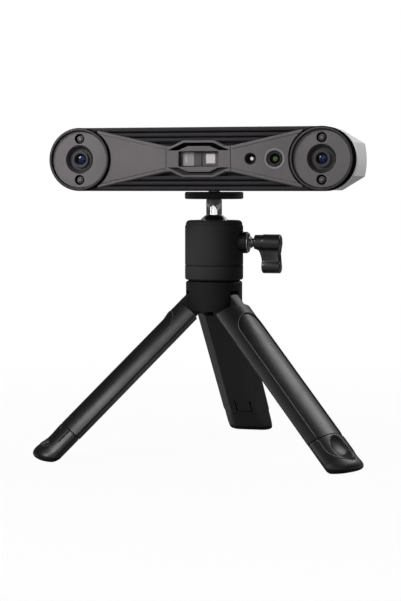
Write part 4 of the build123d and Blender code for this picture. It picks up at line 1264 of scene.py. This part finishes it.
@dataclass
class ScannerBack:
    """Rear cover with its button, light and socket, and the boards inside.

    Attributes:
        button: Radius of the rear button.
        gap: Gap between the button and the bezel about it.
        ring: Width of the bezel.
    """

    button: float = 5.0
    gap: float = 0.35
    ring: float = 0.9

    def build(self) -> None:
        """Puts a fine turned bezel round the button."""
        inner = self.button + self.gap
        outer = inner + self.ring
        bezel = rounded([
            (inner, 0.1, 0.05), (outer, 0.1, 0.05), (outer, 0.4, 0.12), (inner, 0.45, 0.15),
        ])
        grid = lathe(bezel, (0.0, REAR_Y - 0.2, SCANNER_Z), Axis.BACK)
        add_piece("button_bezel", [grid], "scanner", Finishes.rim)

    def dress(self) -> None:
        """Gives the cover and what is in it their finishes."""
        dress_nodes({
            "rear_cover": Finishes.cover,
            "push_button": Finishes.button,
            "status_light": Finishes.pale,
            "usb_socket": Finishes.steel,
            "tripod_insert": Finishes.brass,
            "cover_screws": Finishes.steel,
            "optics_bar": Finishes.bar,
            "main_board": Finishes.board,
            "port_board": Finishes.board,
            "colour_camera_board": Finishes.board,
            "processor": Finishes.chip,
            "key_switch": Finishes.chip,
        })


# Ball head and tripod


@dataclass
class BallHead:
    """Head between tripod and scanner: shell, base, chrome ball and neck, grooved plate.

    Attributes:
        radius: Radius of the head's shell.
        bore: Radius of the shell's bore about the base's spigot.
        ball: Radius of the ball.
        socket: Radius of the hollow that the ball turns in.
        neck: Radius of the neck.
        fillet: Rounding between ball and neck.
        plate: Radius of the plate.
        hole: Radius of the screw's hole in plate and base.
        edge: Bevel of the plate's edges.
        groove: Depth of a groove in the plate's rim.
        grooves: Fine grooves round the plate's rim.
    """

    radius: float = 16.0
    bore: float = 10.6
    ball: float = 9.0
    socket: float = 9.05
    neck: float = 4.32
    fillet: float = 0.5
    plate: float = 16.2
    hole: float = 3.2
    edge: float = 0.75
    groove: float = 0.16
    grooves: int = 3

    def shell_profile(self) -> Array:
        """Section of the upper shell: wall, round shoulder with a fine step, flared mouth, socket.

        Returns:
            The section's radii and heights.
        """
        low, high = BASE_TOP + 0.3, HOUSING_TOP
        outer = rounded([
            (self.bore, low, 0), (self.radius, low, 0.15), (self.radius, high - 2.7, 1.2),
            (15.55, high - 2.55, 0.1), (15.5, high, 2.1), (9.6, high, 0.25),
            (8.27, BALL_Z + 3.7, 0),
        ], 8, closed=False)
        turn = np.linspace(radians(65.9), radians(100.0), 10)
        hollow = stacked(self.socket * np.sin(turn), BALL_Z + self.socket * np.cos(turn))
        return np.vstack([outer, hollow, [(self.bore, BALL_Z - 3.0)]])

    def base_profile(self) -> Array:
        """Section of the base: bevelled foot, wall, and a spigot that stands in the shell.

        Returns:
            The section's radii and heights.
        """
        spigot, bevel, top = 10.5, 0.7, BASE_TOP + 7.0
        return rounded([
            (self.hole, HEAD_BOTTOM, 0), (self.radius - bevel, HEAD_BOTTOM, 0.1),
            (self.radius, HEAD_BOTTOM + bevel, 0.3), (self.radius, BASE_TOP, 0.15),
            (spigot, BASE_TOP, 0), (spigot, top, 0.2), (self.hole, top, 0),
        ])

    def stem_profile(self) -> Array:
        """Section of ball and neck: an arc of the ball, a small fillet, the neck's straight wall.

        Returns:
            The section's radii and heights.
        """
        start = np.arcsin((self.neck + self.fillet) / self.ball)
        turn = np.linspace(np.pi, start, 40)
        arc = stacked(self.ball * np.sin(turn), BALL_Z + self.ball * np.cos(turn))
        blend = np.linspace(0, np.pi / 2, 7)[1:]
        fillet = stacked(
            self.neck + self.fillet * (1 - np.sin(blend)),
            arc[-1, 1] + self.fillet * (1 - np.cos(blend)),
        )
        top = PLATE_BOTTOM
        end = [(self.neck, top - 0.6), (self.neck - 0.25, top), (0.0, top)]
        return np.vstack([arc, fillet, end])

    def plate_profile(self) -> Array:
        """Section of the plate: bevelled edges and a rim with fine round grooves.

        The rim's radius is the plate's less groove * (1 - cos(2 * pi * grooves * share)) / 2.

        Returns:
            The section's radii and heights.
        """
        low, high, edge = PLATE_BOTTOM, PLATE_TOP, self.edge
        brink, land = self.plate - 0.06, 0.6
        share = np.linspace(0, 1, 12 * self.grooves + 1)
        wave = 1 - np.cos(2 * np.pi * self.grooves * share)
        rim = stacked(
            self.plate - self.groove / 2 * wave, low + edge + share * (high - low - 2 * edge))
        under = [(self.hole, low), (self.plate - edge, low), (brink, low + land)]
        over = [(brink, high - land), (self.plate - edge, high), (self.hole, high)]
        return np.vstack([under, rim, over])

    def build(self) -> None:
        """Makes the turned pieces of the head."""
        shell = lathe(self.shell_profile(), ORIGIN, Axis.UP, 144)
        base = lathe(self.base_profile(), ORIGIN, Axis.UP, 144)
        stem = lathe(self.stem_profile(), ORIGIN, Axis.UP, 96, closed=False)
        plate = lathe(self.plate_profile(), ORIGIN, Axis.UP, 144)
        for name, grid, body, finish, slot, node, crease in (
            ("head_shell", shell, "head", Finishes.shell, "head_metal", "head_housing", 24.0),
            ("head_ring", base, "head", Finishes.shell, "head_metal", "head_base", 24.0),
            ("ball_and_neck", stem, "ball", Finishes.chrome, "ball_chrome", "ball_stem", CREASE),
            ("grooved_plate", plate, "ball", Finishes.plate, "plate_metal", "mount_plate", 40.0),
        ):
            add_piece(name, [grid], body, finish, node, crease)

    def dress(self) -> None:
        """Gives the head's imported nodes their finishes."""
        dress_nodes({
            "ball_seat": Finishes.seat,
            "tripod_screw": Finishes.steel,
            "clamp_plunger": Finishes.brass,
            "head_screw": Finishes.steel,
            "pan_washer": Finishes.sole,
        })


@dataclass
class ClampKnob:
    """Clamp of the ball head: bushing, threaded shaft, collar and wing, in millimetres.

    Attributes:
        start: Start of the collar from the head's axis.
        collar: Radius of the collar.
        collar_length: Length of the collar.
        barrel: Radius of the wing's round head.
        drop: Centre of the wing's end below the axis.
        tip: Radius of the wing's end.
        waist: Half thickness of the wing's waist.
        width: Width of the wing along the axis.
        edge: Rounding of the wing's edges.
        pitch: Pitch of the thread.
        groove: Depth of the thread.
        shaft: Places along the axis at which the shaft's radius changes.
        radii: The shaft's radius at those places.
    """

    start: float = 23.0
    collar: float = 4.3
    collar_length: float = 4.1
    barrel: float = 4.6
    drop: float = 13.2
    tip: float = 3.5
    waist: float = 2.4
    width: float = 10.6
    edge: float = 1.2
    pitch: float = 0.7
    groove: float = 0.35
    shaft: Sequence[float] = (13.95, 19.8, 19.85, 20.6, 22.2, 23.3)
    radii: Sequence[float] = (2.5, 2.5, 3.5, 3.4, 2.4, 2.3)

    def thread_grid(self) -> Grid:
        """Screw thread: radius = taper(h) - groove * |2 * frac(h / pitch - t / turn) - 1|.

        The taper falls smoothly from the nut by the bushing to the shaft by the collar.

        Returns:
            The closed grid.
        """
        height = np.linspace(self.shaft[0], self.shaft[-1], 190)[:, None]
        turn = full_turn(48)
        phase = (height / self.pitch - turn / (2 * np.pi)) % 1.0
        taper = np.interp(height, self.shaft, self.radii)
        radius = taper - self.groove * np.abs(2 * phase - 1)
        points = stacked(height, radius * np.cos(turn), CLAMP_Z + radius * np.sin(turn))
        return capped(points, stacked(height[[0, -1], 0], 0.0, CLAMP_Z))

    def outline(self, barrel: float, drop: float, tip: float, waist: float) -> Array:
        """End view of a wing, clockwise, as points across and up.

        Going down, the half width is sqrt(barrel^2 - s^2) at the barrel, the waist between, and
        sqrt(tip^2 - (s - drop)^2) at the tip, joined by the fifth root of the sum of fifth powers.

        Args:
            barrel: Radius of the round head.
            drop: Centre of the wing's end below the axis.
            tip: Radius of the wing's end.
            waist: Half thickness between them.

        Returns:
            Array of points and two coordinates.
        """
        along = barrel - (barrel + drop + tip) * (1 - np.cos(np.linspace(0, np.pi, 72))) / 2
        head = np.sqrt(np.clip(barrel ** 2 - along ** 2, 0, None))
        end = np.sqrt(np.clip(tip ** 2 - (along + drop) ** 2, 0, None))
        between = np.where((along < 0) & (along > -drop), waist, 0.0)
        half = (head ** 5 + end ** 5 + between ** 5) ** 0.2
        half[[0, -1]] = 0.0
        right = stacked(half, along)
        return np.vstack([right, right[-2:0:-1] * (-1, 1)])

    def carried(self, outlines: Array, x: Array) -> Grid:
        """End views carried along the axis, one at each place x of their points."""
        return capped(stacked(x, outlines[..., 0], CLAMP_Z + outlines[..., 1]))

    def wing_grid(self) -> Grid:
        """Wing: its end view carried along the axis, drawn in by a quarter circle at both faces.

        The outer face sinks by 0.6 * exp(-((s + 7.2) / 3.2)^2) at height s, which gives the waist
        seen from the front. The end view runs clockwise, so its normals point inwards.

        Returns:
            The closed grid.
        """
        shape = self.outline(self.barrel, self.drop, self.tip, self.waist)
        turn = np.linspace(0, np.pi / 2, 7)
        inset, near = self.edge * (1 - np.sin(turn)), self.edge * (1 - np.cos(turn))
        inset = np.concatenate([inset, inset[::-1]])[:, None, None]
        along = np.concatenate([near, self.width - near[::-1]])[:, None]
        sunk = 0.6 * np.exp(-(((shape[:, 1] + 7.2) / 3.2) ** 2))
        share = np.clip(along / self.width * 2 - 1, 0, 1)
        x = self.start + self.collar_length + along - share * sunk
        return self.carried(shape + inset * outward(shape), x)

    def web_grid(self) -> Grid:
        """Collar that runs into the wing: the end view's drop grows with the cube of the way.

        Returns:
            The closed grid.
        """
        lead = 0.12
        way = np.concatenate([[0.0, 0.05, lead], np.linspace(0.2, 1.12, 16)])
        drops = 1.2 + 6.4 * np.clip(way, 0, 1) ** 3
        radii = self.collar - 0.55 * np.clip(1 - way / lead, 0, 1) ** 2
        tip, waist = self.waist * 0.95, self.waist * 0.9
        outlines = np.stack([
            self.outline(radius, drop, tip, waist) for radius, drop in zip(radii, drops)
        ])
        return self.carried(outlines, (self.start + way * self.collar_length)[:, None])

    def build(self) -> None:
        """Makes the bushing, its bright bevel, the thread and the knob."""
        bushing = rounded([
            (2.55, 13.95, 0), (5.9, 13.95, 0), (5.9, 18.75, 0.1), (5.05, 19.6, 0.1),
            (4.3, 19.6, 0.1), (4.1, 19.2, 0.1), (2.55, 19.2, 0.05),
        ])
        bevel = rounded([(5.0, 19.45, 0), (5.42, 19.25, 0), (5.36, 19.62, 0.08), (5.0, 19.7, 0.08)])
        ring, bright = (
            lathe(profile, (0, 0, CLAMP_Z), Axis.RIGHT) for profile in (bushing, bevel)
        )
        add_piece("bushing_ring", [ring], "head", Finishes.plate,
                  "clamp_bushing", 24.0)
        add_piece("bushing_bevel", [bright], "head", Finishes.bevel)
        add_piece("clamp_thread", [self.thread_grid()], "knob", Finishes.thread,
                  "clamp_screw", 50.0)
        add_piece("wing_knob", [self.web_grid(), self.wing_grid()], "knob", Finishes.knob,
                  "clamp_knob", 50.0)


@dataclass
class TripodLeg:
    """One open leg with fine lighter beads along the edge of its recessed panel, painted
    highlights, in millimetres.

    Attributes:
        name: The leg's word.
        turn: The leg's direction about the tripod's axis, in degrees.
        panel_half: Half width of the recessed panel.
        panel_top: Panel's upper end from the pin.
        panel_end: Panel's lower end from the pin.
        seam: Seam between leg and foot from the pin.
        bead: Radius of the bead, a painted highlight.
        run_out: Length in which a bead's ends run out.
    """

    name: str
    turn: float
    panel_half: float = 10.0
    panel_top: float = 13.5
    panel_end: float = 114.9
    seam: float = 97.9
    bead: float = 0.26
    run_out: float = 1.5

    def axes(self) -> tuple[Array, Array]:
        """Where the leg's pin is and how the leg lies.

        Returns:
            The pin, and the directions out of the pin's plane, across the leg and along it.
        """
        phi = radians(self.turn)
        radial = np.array([cos(phi), sin(phi), 0.0])
        side = np.array([-sin(phi), cos(phi), 0.0])
        up = np.array([0.0, 0.0, 1.0])
        normal = radial * cos(LEAN) + up * sin(LEAN)
        down = radial * sin(LEAN) - up * cos(LEAN)
        return radial * PIN_RADIUS + up * PIN_Z, np.stack([normal, side, down])

    def placed(self, spots: Array) -> Array:
        """Points from places out of the pin's plane, across the leg and along it from the pin."""
        pin, axes = self.axes()
        return pin + spots @ axes

    def bead_grid(self, across: Array, along: Array) -> Grid:
        """Thin round bead on the outer face, lighter than the leg: a painted highlight of the
        panel's edge.

        The path's height is sqrt(R^2 - across^2) on the round face. Rings stand square to the path,
        with radius bead * min(1, distance to the nearer end / run_out), so that both ends run out.

        Args:
            across: Places of the path across the leg.
            along: Places of the path along the leg.

        Returns:
            The closed grid.
        """
        out = np.sqrt(LEG_RADIUS ** 2 - across ** 2) - PIN_RADIUS - 0.04
        path = self.placed(stacked(out, across, along))
        lean = np.arcsin(across / LEG_RADIUS)
        normal = stacked(np.cos(lean), np.sin(lean), 0.0) @ self.axes()[1]
        square = np.cross(unit(np.gradient(path, axis=0)), normal)
        length = lengths(path)
        to_end = np.minimum(length, length[-1] - length)
        radius = self.bead * np.clip(to_end / self.run_out, 0.02, 1.0)
        return tube(path, normal, square, radius[:, None, None], 10)

    def leg_path(self) -> tuple[Array, Array]:
        """Up one side of the panel, round its top in a half circle and down the other side.

        Returns:
            Places across and along the leg.
        """
        half, count = self.panel_half, 60
        side = np.linspace(self.seam - 0.2, self.panel_top + half, count)
        turn = np.linspace(0, np.pi, 40)[1:-1]
        across = np.concatenate([np.full(count, half), half * np.cos(turn), np.full(count, -half)])
        along = np.concatenate([side, self.panel_top + half - half * np.sin(turn), side[::-1]])
        return across, along

    def foot_path(self, side: Side) -> tuple[Array, Array]:
        """Down one side of the foot from the seam and round to the thumb scoop.

        Args:
            side: Which side of the foot.

        Returns:
            Places across and along the leg.
        """
        half, count = self.panel_half, 10
        straight = np.linspace(self.seam + 0.5, self.panel_end - half, count)
        turn = np.linspace(0, radians(66), 24)[1:]
        across = side.value * np.concatenate([np.full(count, half), half * np.cos(turn)])
        along = np.concatenate([straight, self.panel_end - half + half * np.sin(turn)])
        return across, along

    def build(self) -> None:
        """Makes the beads of the leg and of its foot, painted highlights."""
        leg = [self.bead_grid(*self.leg_path())]
        foot = [self.bead_grid(*self.foot_path(side)) for side in Side]
        for word, grids in (("leg", leg), ("foot", foot)):
            add_piece(f"{self.name}_{word}_bead", grids, f"{self.name}_{word}_body",
                      Finishes.bead)

    def dress(self) -> None:
        """Gives the leg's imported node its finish."""
        dress_nodes({f"{self.name}_leg": Finishes.leg})


def soft_max(first: Array, second: Array, width: float) -> Array:
    """Larger of two values, joined by a parabola where they differ by less than a width."""
    near = np.clip(width - np.abs(first - second), 0, None)
    return np.maximum(first, second) + near ** 2 / (4 * width)


@dataclass
class PullOutFoot:
    """Foot that slides in a leg: thumb scoop, round toe, rubber sole and rail, in millimetres.

    Attributes:
        leg: The leg that it slides in.
        core: Flat inner face from the folded bundle's axis.
        half_angle: Half of the leg's sector of the bundle, in degrees.
        panel_depth: Depth of the recessed panel.
        toe: Toe's end along the leg from the pin.
        toe_start: Where the toe starts to narrow.
        toe_half: Half width that the toe narrows from.
        toe_power: Power of the toe's curve.
        sole: Height of the sole above the floor.
        sole_reach: Middle of the sole from the tripod's axis.
        scoop: Radius of the scoop's sphere.
        scoop_depth: Depth of the scoop.
        scoop_along: Scoop's middle from the pin.
        teeth: Fine teeth round the scoop's lower edge.
        tooth: Height of a tooth.
        fan: Where along the leg the toe's rays start.
        rail: Ends of the rail along the leg.
    """

    leg: TripodLeg
    core: float = 5.4
    half_angle: float = 57.0
    panel_depth: float = 0.6
    toe: float = 123.2
    toe_start: float = 107.0
    toe_half: float = 14.4
    toe_power: float = 2.6
    sole: float = 2.6
    sole_reach: float = 93.5
    scoop: float = 11.8
    scoop_depth: float = 3.6
    scoop_along: float = 106.9
    teeth: int = 40
    tooth: float = 0.45
    fan: float = 106.0
    rail: tuple[float, float] = (46.0, 98.6)

    def height(self, spots: Array) -> Array:
        """Height above the floor of places out, across and along."""
        return PIN_Z + spots[..., 0] * sin(LEAN) - spots[..., 2] * cos(LEAN)

    def scooped(self, spots: Array) -> Array:
        """How deep places lie in the scoop's sphere, less the teeth by its lower edge.

        A tooth is a cosine wave round the scoop's axis, within the outer third of the hollow.

        Args:
            spots: Places out, across and along.

        Returns:
            Values above zero inside the scoop.
        """
        out, across, along = np.moveaxis(spots, -1, 0)
        middle = LEG_RADIUS - PIN_RADIUS + self.scoop - self.scoop_depth
        along = along - self.scoop_along
        apart = np.sqrt((out - middle) ** 2 + across ** 2 + along ** 2)
        turn = np.arctan2(across, along)
        ring = np.hypot(across, along)
        edge = np.clip((ring - 4.6) / 0.5, 0, 1) * np.clip((2.3 - np.abs(turn)) / 0.2, 0, 1)
        wave = np.clip(np.cos(self.teeth * turn), 0, 1) * edge
        return self.scoop - self.tooth * wave - apart

    def depth(self, spots: Array) -> Array:
        """Whether places lie in the foot.

        The parts are the round outer face with its recessed panel, the flat inner face, two
        slanting sides, a toe end that narrows as a power curve, the floor and the scoop, joined by
        soft maxima.

        Args:
            spots: Places out, across and along.

        Returns:
            Values below zero inside the foot and above zero outside.
        """
        out, across, along = np.moveaxis(spots, -1, 0)
        below = np.clip(along - (self.leg.panel_end - self.leg.panel_half), 0, None)
        inset = self.leg.panel_half - np.hypot(across, below)
        swell = 0.5 * np.clip((along - 113.0) / 5.0, 0, 1)
        face = np.hypot(out + PIN_RADIUS, across) - LEG_RADIUS - swell
        face = face + self.panel_depth * np.clip(inset / 0.25, 0, 1)
        half = radians(self.half_angle)
        side = np.abs(across) * cos(half) - (out + PIN_RADIUS) * sin(half)
        inner = soft_max(side, self.core - PIN_RADIUS - out, 1.0)
        way = np.clip((along - self.toe_start) / (self.toe - self.toe_start), 0, None)
        power = self.toe_power
        narrow = (way ** power + (np.abs(across) / self.toe_half) ** power) ** (1 / power) - 1
        outer = soft_max(soft_max(face, 12.0 * narrow, 2.0), along - self.toe, 8.0)
        floor = -self.height(spots)
        edges = soft_max(soft_max(outer, inner, 1.2), floor, 2.0)
        body = np.maximum(soft_max(outer, floor, 2.5), edges)
        return soft_max(body, self.scooped(spots), 0.5)

    def reach(self, start: Array, way: Array, cut: Callable[[Array], Array]) -> Array:
        """Where rays leave a solid, found by halving the step forty times.

        Args:
            start: First points of the rays, out, across and along.
            way: Directions of the rays.
            cut: Value of a place that is below zero inside.

        Returns:
            The last points inside.
        """
        near = np.zeros(np.broadcast_shapes(start.shape, way.shape)[:-1])
        far = np.full_like(near, 40.0)
        for _ in range(40):
            middle = (near + far) / 2
            inside = cut(start + middle[..., None] * way) < 0
            near, far = np.where(inside, middle, near), np.where(inside, far, middle)
        return start + near[..., None] * way

    def placed(self, spots: Array) -> Grid:
        """Closed grid of places out, across and along, put on the open leg."""
        return Grid(self.leg.placed(spots), wrap_columns=True)

    def foot_grid(self) -> Grid:
        """Rays square to the leg's middle line above the toe, and a fan of rays in the toe.

        A low step on the upper face keeps light out of the seam.

        Returns:
            The closed grid.
        """
        columns, stations, fan_rows = 280, 50, 90
        turn = full_turn(columns)
        ring = stacked(np.cos(turn), np.sin(turn), 0.0)
        straight = np.linspace(self.leg.seam + 0.55, self.fan, stations)
        lean = np.linspace(0, np.pi / 2, fan_rows)[1:]
        along = np.concatenate([[self.leg.seam + 0.3], straight, np.full_like(lean, self.fan)])
        lean = np.concatenate([np.zeros(stations + 1), lean])[:, None, None]
        start = stacked(1.0, 0.0, along)[:, None]
        way = np.cos(lean) * ring + np.sin(lean) * np.array([0.0, 0.0, 1.0])

        def above_sole(at: Array) -> Array:
            """The foot's value, cut off above the sole."""
            return soft_max(self.depth(at), self.sole + 0.04 - self.height(at), 0.2)

        spots = self.reach(start, way, above_sole)
        middle = start[:1]
        spots[:1] = middle + (spots[:1] - middle) * 0.985
        foot_of_step = middle + (spots[:1] - middle) * 0.94
        rise = np.array([0.0, 0.0, -0.24])
        pole = np.broadcast_to(middle + rise, (1, columns, 3))
        return self.placed(np.concatenate([pole, foot_of_step + rise, foot_of_step, spots]))

    def sole_grid(self) -> Grid:
        """Rays from the middle of the sole, spread flat as the sole is.

        Returns:
            The closed grid.
        """
        turn = full_turn(160)
        lean = np.linspace(-np.pi / 2, np.pi / 2, 44)[:, None]
        middle = self.sole / 2
        side, up = np.cos(lean), middle / 12.0 * np.sin(lean)
        forth, across = side * np.cos(turn), side * np.sin(turn)
        way = stacked(
            forth * cos(LEAN) + up * sin(LEAN), across, forth * sin(LEAN) - up * cos(LEAN))
        rest, drop = self.sole_reach - PIN_RADIUS, PIN_Z - middle
        start = np.array([
            rest * cos(LEAN) - drop * sin(LEAN), 0.0, rest * sin(LEAN) + drop * cos(LEAN)])

        def below_foot(at: Array) -> Array:
            """The foot's value, cut off below the foot."""
            return soft_max(self.depth(at), self.height(at) - self.sole, 0.2)

        return self.placed(self.reach(start, way, below_foot))

    def rail_grid(self) -> Grid:
        """Bar of a round rectangle carried along the leg, from its upper end to the foot.

        Returns:
            The closed grid.
        """
        out, across = rectangle(4.36, 11.36, 0.5).T
        along = np.array(self.rail)[:, None]
        return capped(self.leg.placed(stacked(0.3 + out, across, along)))

    def build(self) -> None:
        """Makes the foot with its rail, and the sole."""
        name = self.leg.name
        body = f"{name}_foot_body"
        add_piece(f"{name}_thumb_foot", [self.foot_grid(), self.rail_grid()], body, Finishes.foot,
                  f"{name}_foot", 40.0)
        add_piece(f"{name}_rubber_sole", [self.sole_grid()], body, Finishes.sole,
                  f"{name}_sole", 40.0)


@dataclass
class TripodHub:
    """Hub that the legs fold from, with its pins.

    Attributes:
        hub: Finish of the hub.
        pins: Finish of the leg pins.
    """

    hub: Finish = Finishes.hub
    pins: Finish = Finishes.steel

    def dress(self) -> None:
        """Gives the hub and its pins their finishes."""
        dress_nodes({"hub": self.hub, "leg_pins": self.pins})


# Studio


@dataclass
class SoftBox:
    """A flat lamp that looks at a point.

    Attributes:
        name: The lamp's name.
        place: Where it stands, in metres.
        aim: What it looks at.
        size: Its width.
        power: Its power in watts.
        tall: Its height for each unit of width.
    """

    name: str
    place: Vec
    aim: Vec
    size: float
    power: float
    tall: float = 1.0

    def build(self) -> None:
        """Makes the lamp."""
        lamp = bpy.data.lights.new(self.name, "AREA")
        lamp.shape = "RECTANGLE"
        lamp.size = self.size
        lamp.size_y = self.size * self.tall
        lamp.energy = self.power
        item = bpy.data.objects.new(self.name, lamp)
        from_lamp = np.array(self.aim) - np.array(self.place)
        item.location = self.place
        item.rotation_euler = Vector(from_lamp).to_track_quat("-Z", "Y").to_euler()
        bpy.context.scene.collection.objects.link(item)


@dataclass(frozen=True)
class Paper:
    """White paper that shows in reflections.

    Attributes:
        towards: Direction from the object to its middle.
        outer: Cosine of the angle at which it ends.
        inner: Cosine of the angle up to which it is full.
    """

    towards: Vec
    outer: float
    inner: float


@dataclass
class Studio:
    """Pale floor, white surroundings, soft lamps and the camera at the photograph's place.

    Attributes:
        focal: Focal length in pixels of the photograph.
        azimuth: Camera's turn to the right of the front, in degrees.
        distance: Distance from the camera to the tripod's axis along its view.
        aside: How far the axis lies right of the middle of the view.
        height: Camera height above the floor.
        horizon: Horizon's height above the middle of the photograph, in pixels.
        room: Colour of the dim room about the object.
        ground: Colour of the floor.
        ground_glow: How white reflections see the floor.
        ground_clear: How clear the floor is to the camera by the object and away from it.
        clear_from: Distances from the middle between which it clears.
        papers: White papers that reflections show: by the camera, and high behind on the right.
        boxes: The lamps.
    """

    focal: float = 1700.0
    azimuth: float = 14.4
    distance: float = 0.9358
    aside: float = 0.00749
    height: float = 0.14574
    horizon: float = 112.9
    room: Vec = (0.05, 0.05, 0.051)
    ground: Vec = (0.34, 0.34, 0.34)
    ground_glow: float = 0.1
    ground_clear: tuple[float, float] = (0.965, 1.0)
    clear_from: tuple[float, float] = (0.12, 0.55)
    papers: Sequence[Paper] = (
        Paper((0.30, -0.95, 0.03), 0.64, 0.80),
        Paper((0.40, 0.46, 0.79), 0.66, 0.86),
    )
    boxes: Sequence[SoftBox] = field(default_factory=lambda: (
        SoftBox("key", (-0.36, -0.38, 0.44), (0, 0, 0.14), 0.24, 4.0),
        SoftBox("over", (-0.20, -0.50, 0.90), (0, 0, 0.14), 0.50, 0.7),
        SoftBox("top", (0.45, 0.30, 0.66), (0.04, 0, 0.08), 0.50, 5.6),
        SoftBox("left strip", (-0.50, -0.62, 0.15), (0, 0, 0.15), 0.05, 0.35, 8.0),
        SoftBox("near strip", (0.04, -0.80, 0.15), (0, 0, 0.15), 0.04, 0.25, 8.0),
    ))

    def camera(self) -> None:
        """Level camera with its frame shifted down to the photograph's."""
        turn = radians(self.azimuth)
        optics = bpy.data.cameras.new("photo camera")
        optics.sensor_width = 36.0
        optics.lens = self.focal / PHOTO_HEIGHT * optics.sensor_width
        optics.shift_y = -self.horizon / PHOTO_HEIGHT
        optics.clip_start = 0.01
        optics.clip_end = 50.0
        item = bpy.data.objects.new("photo camera", optics)
        item.location = (
            self.distance * sin(turn) - self.aside * cos(turn),
            -self.distance * cos(turn) - self.aside * sin(turn),
            self.height,
        )
        item.rotation_euler = (pi / 2, 0.0, turn)
        bpy.context.scene.collection.objects.link(item)
        bpy.context.scene.camera = item

    def world(self) -> None:
        """White for the camera and through glass; for reflections, white papers in a dim room.

        A paper is white within a cone about its direction; its edge lies between two cosines.
        """
        world = bpy.data.worlds.new("studio")
        bpy.context.scene.world = world
        world.use_nodes = True
        graph = Graph(world.node_tree)
        rays = graph.add("LightPath").outputs
        way = graph.add("TexCoord").outputs["Generated"]
        seen = graph.math("MAXIMUM", rays["Is Camera Ray"], rays["Is Transmission Ray"])
        for paper in self.papers:
            facing = graph.dot(way, paper.towards)
            cone = {"Value": facing, "From Min": paper.outer, "From Max": paper.inner}
            white = graph.add("MapRange", cone, interpolation_type="SMOOTHSTEP")
            mirrored = graph.math("MULTIPLY", rays["Is Glossy Ray"], white)
            seen = graph.math("MAXIMUM", seen, mirrored)
        colour = graph.mix(seen, rgba(*self.room), WHITE)
        graph.feed(graph.find("BACKGROUND"), {"Color": colour, "Strength": 1.0})

    def floor(self) -> None:
        """Large pale floor that keeps a soft shadow.

        It lets the camera see the white behind it, and light through too, so that a folded or
        pulled out leg, which reaches below it, still shows. Reflections see it nearly unlit.
        """
        reach = np.linspace(-6000.0, 6000.0, 3)
        floor = make_piece("floor", [Grid(stacked(*np.meshgrid(reach, reach), -0.02))])
        material, graph, shader = new_material("pale floor")
        graph.feed(shader, {"Base Color": rgba(*self.ground), "Roughness": 0.9})
        glow = graph.add("Emission", {"Color": WHITE, "Strength": 1.0})
        rays = graph.add("LightPath").outputs
        seen = graph.math("MAXIMUM", rays["Is Camera Ray"], rays["Is Transmission Ray"])
        seen = graph.math("MAXIMUM", seen, rays["Is Shadow Ray"])
        mirrored = graph.math("MULTIPLY", rays["Is Glossy Ray"], self.ground_glow)
        place = graph.add("NewGeometry").outputs["Position"]
        away = graph.add("VectorMath", {0: place}, operation="LENGTH").outputs["Value"]
        share = graph.add("MapRange", {
            "Value": away, "From Min": self.clear_from[0], "From Max": self.clear_from[1],
            "To Min": self.ground_clear[0], "To Max": self.ground_clear[1],
        })
        matt = graph.add("MixShader", {0: mirrored, 1: shader, 2: glow})
        clear = graph.add("BsdfTransparent")
        blend = graph.add("MixShader", {0: graph.math("MULTIPLY", seen, share), 1: matt, 2: clear})
        graph.feed(graph.find("OUTPUT_MATERIAL"), {"Surface": blend})
        floor.data.materials.append(material)

    def build(self) -> None:
        """Sets up the whole studio."""
        self.camera()
        self.world()
        self.floor()
        for box in self.boxes:
            box.build()
        bpy.context.scene.view_settings.view_transform = "Standard"


def main() -> None:
    """Sets up the studio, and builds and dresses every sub-assembly."""
    logging.basicConfig(level=logging.INFO, format="%(name)s: %(message)s")
    Studio().build()
    for part in (*(LensEnd(side) for side in Side), ScannerFront(), ScannerBack(), BallHead()):
        part.build()
        part.dress()
    ClampKnob().build()
    TripodHub().dress()
    for name, turn in (("rear", 90.0), ("left", 210.0), ("right", 330.0)):
        leg = TripodLeg(name, turn)
        leg.build()
        leg.dress()
        PullOutFoot(leg).build()


if __name__ == "__main__":
    main()
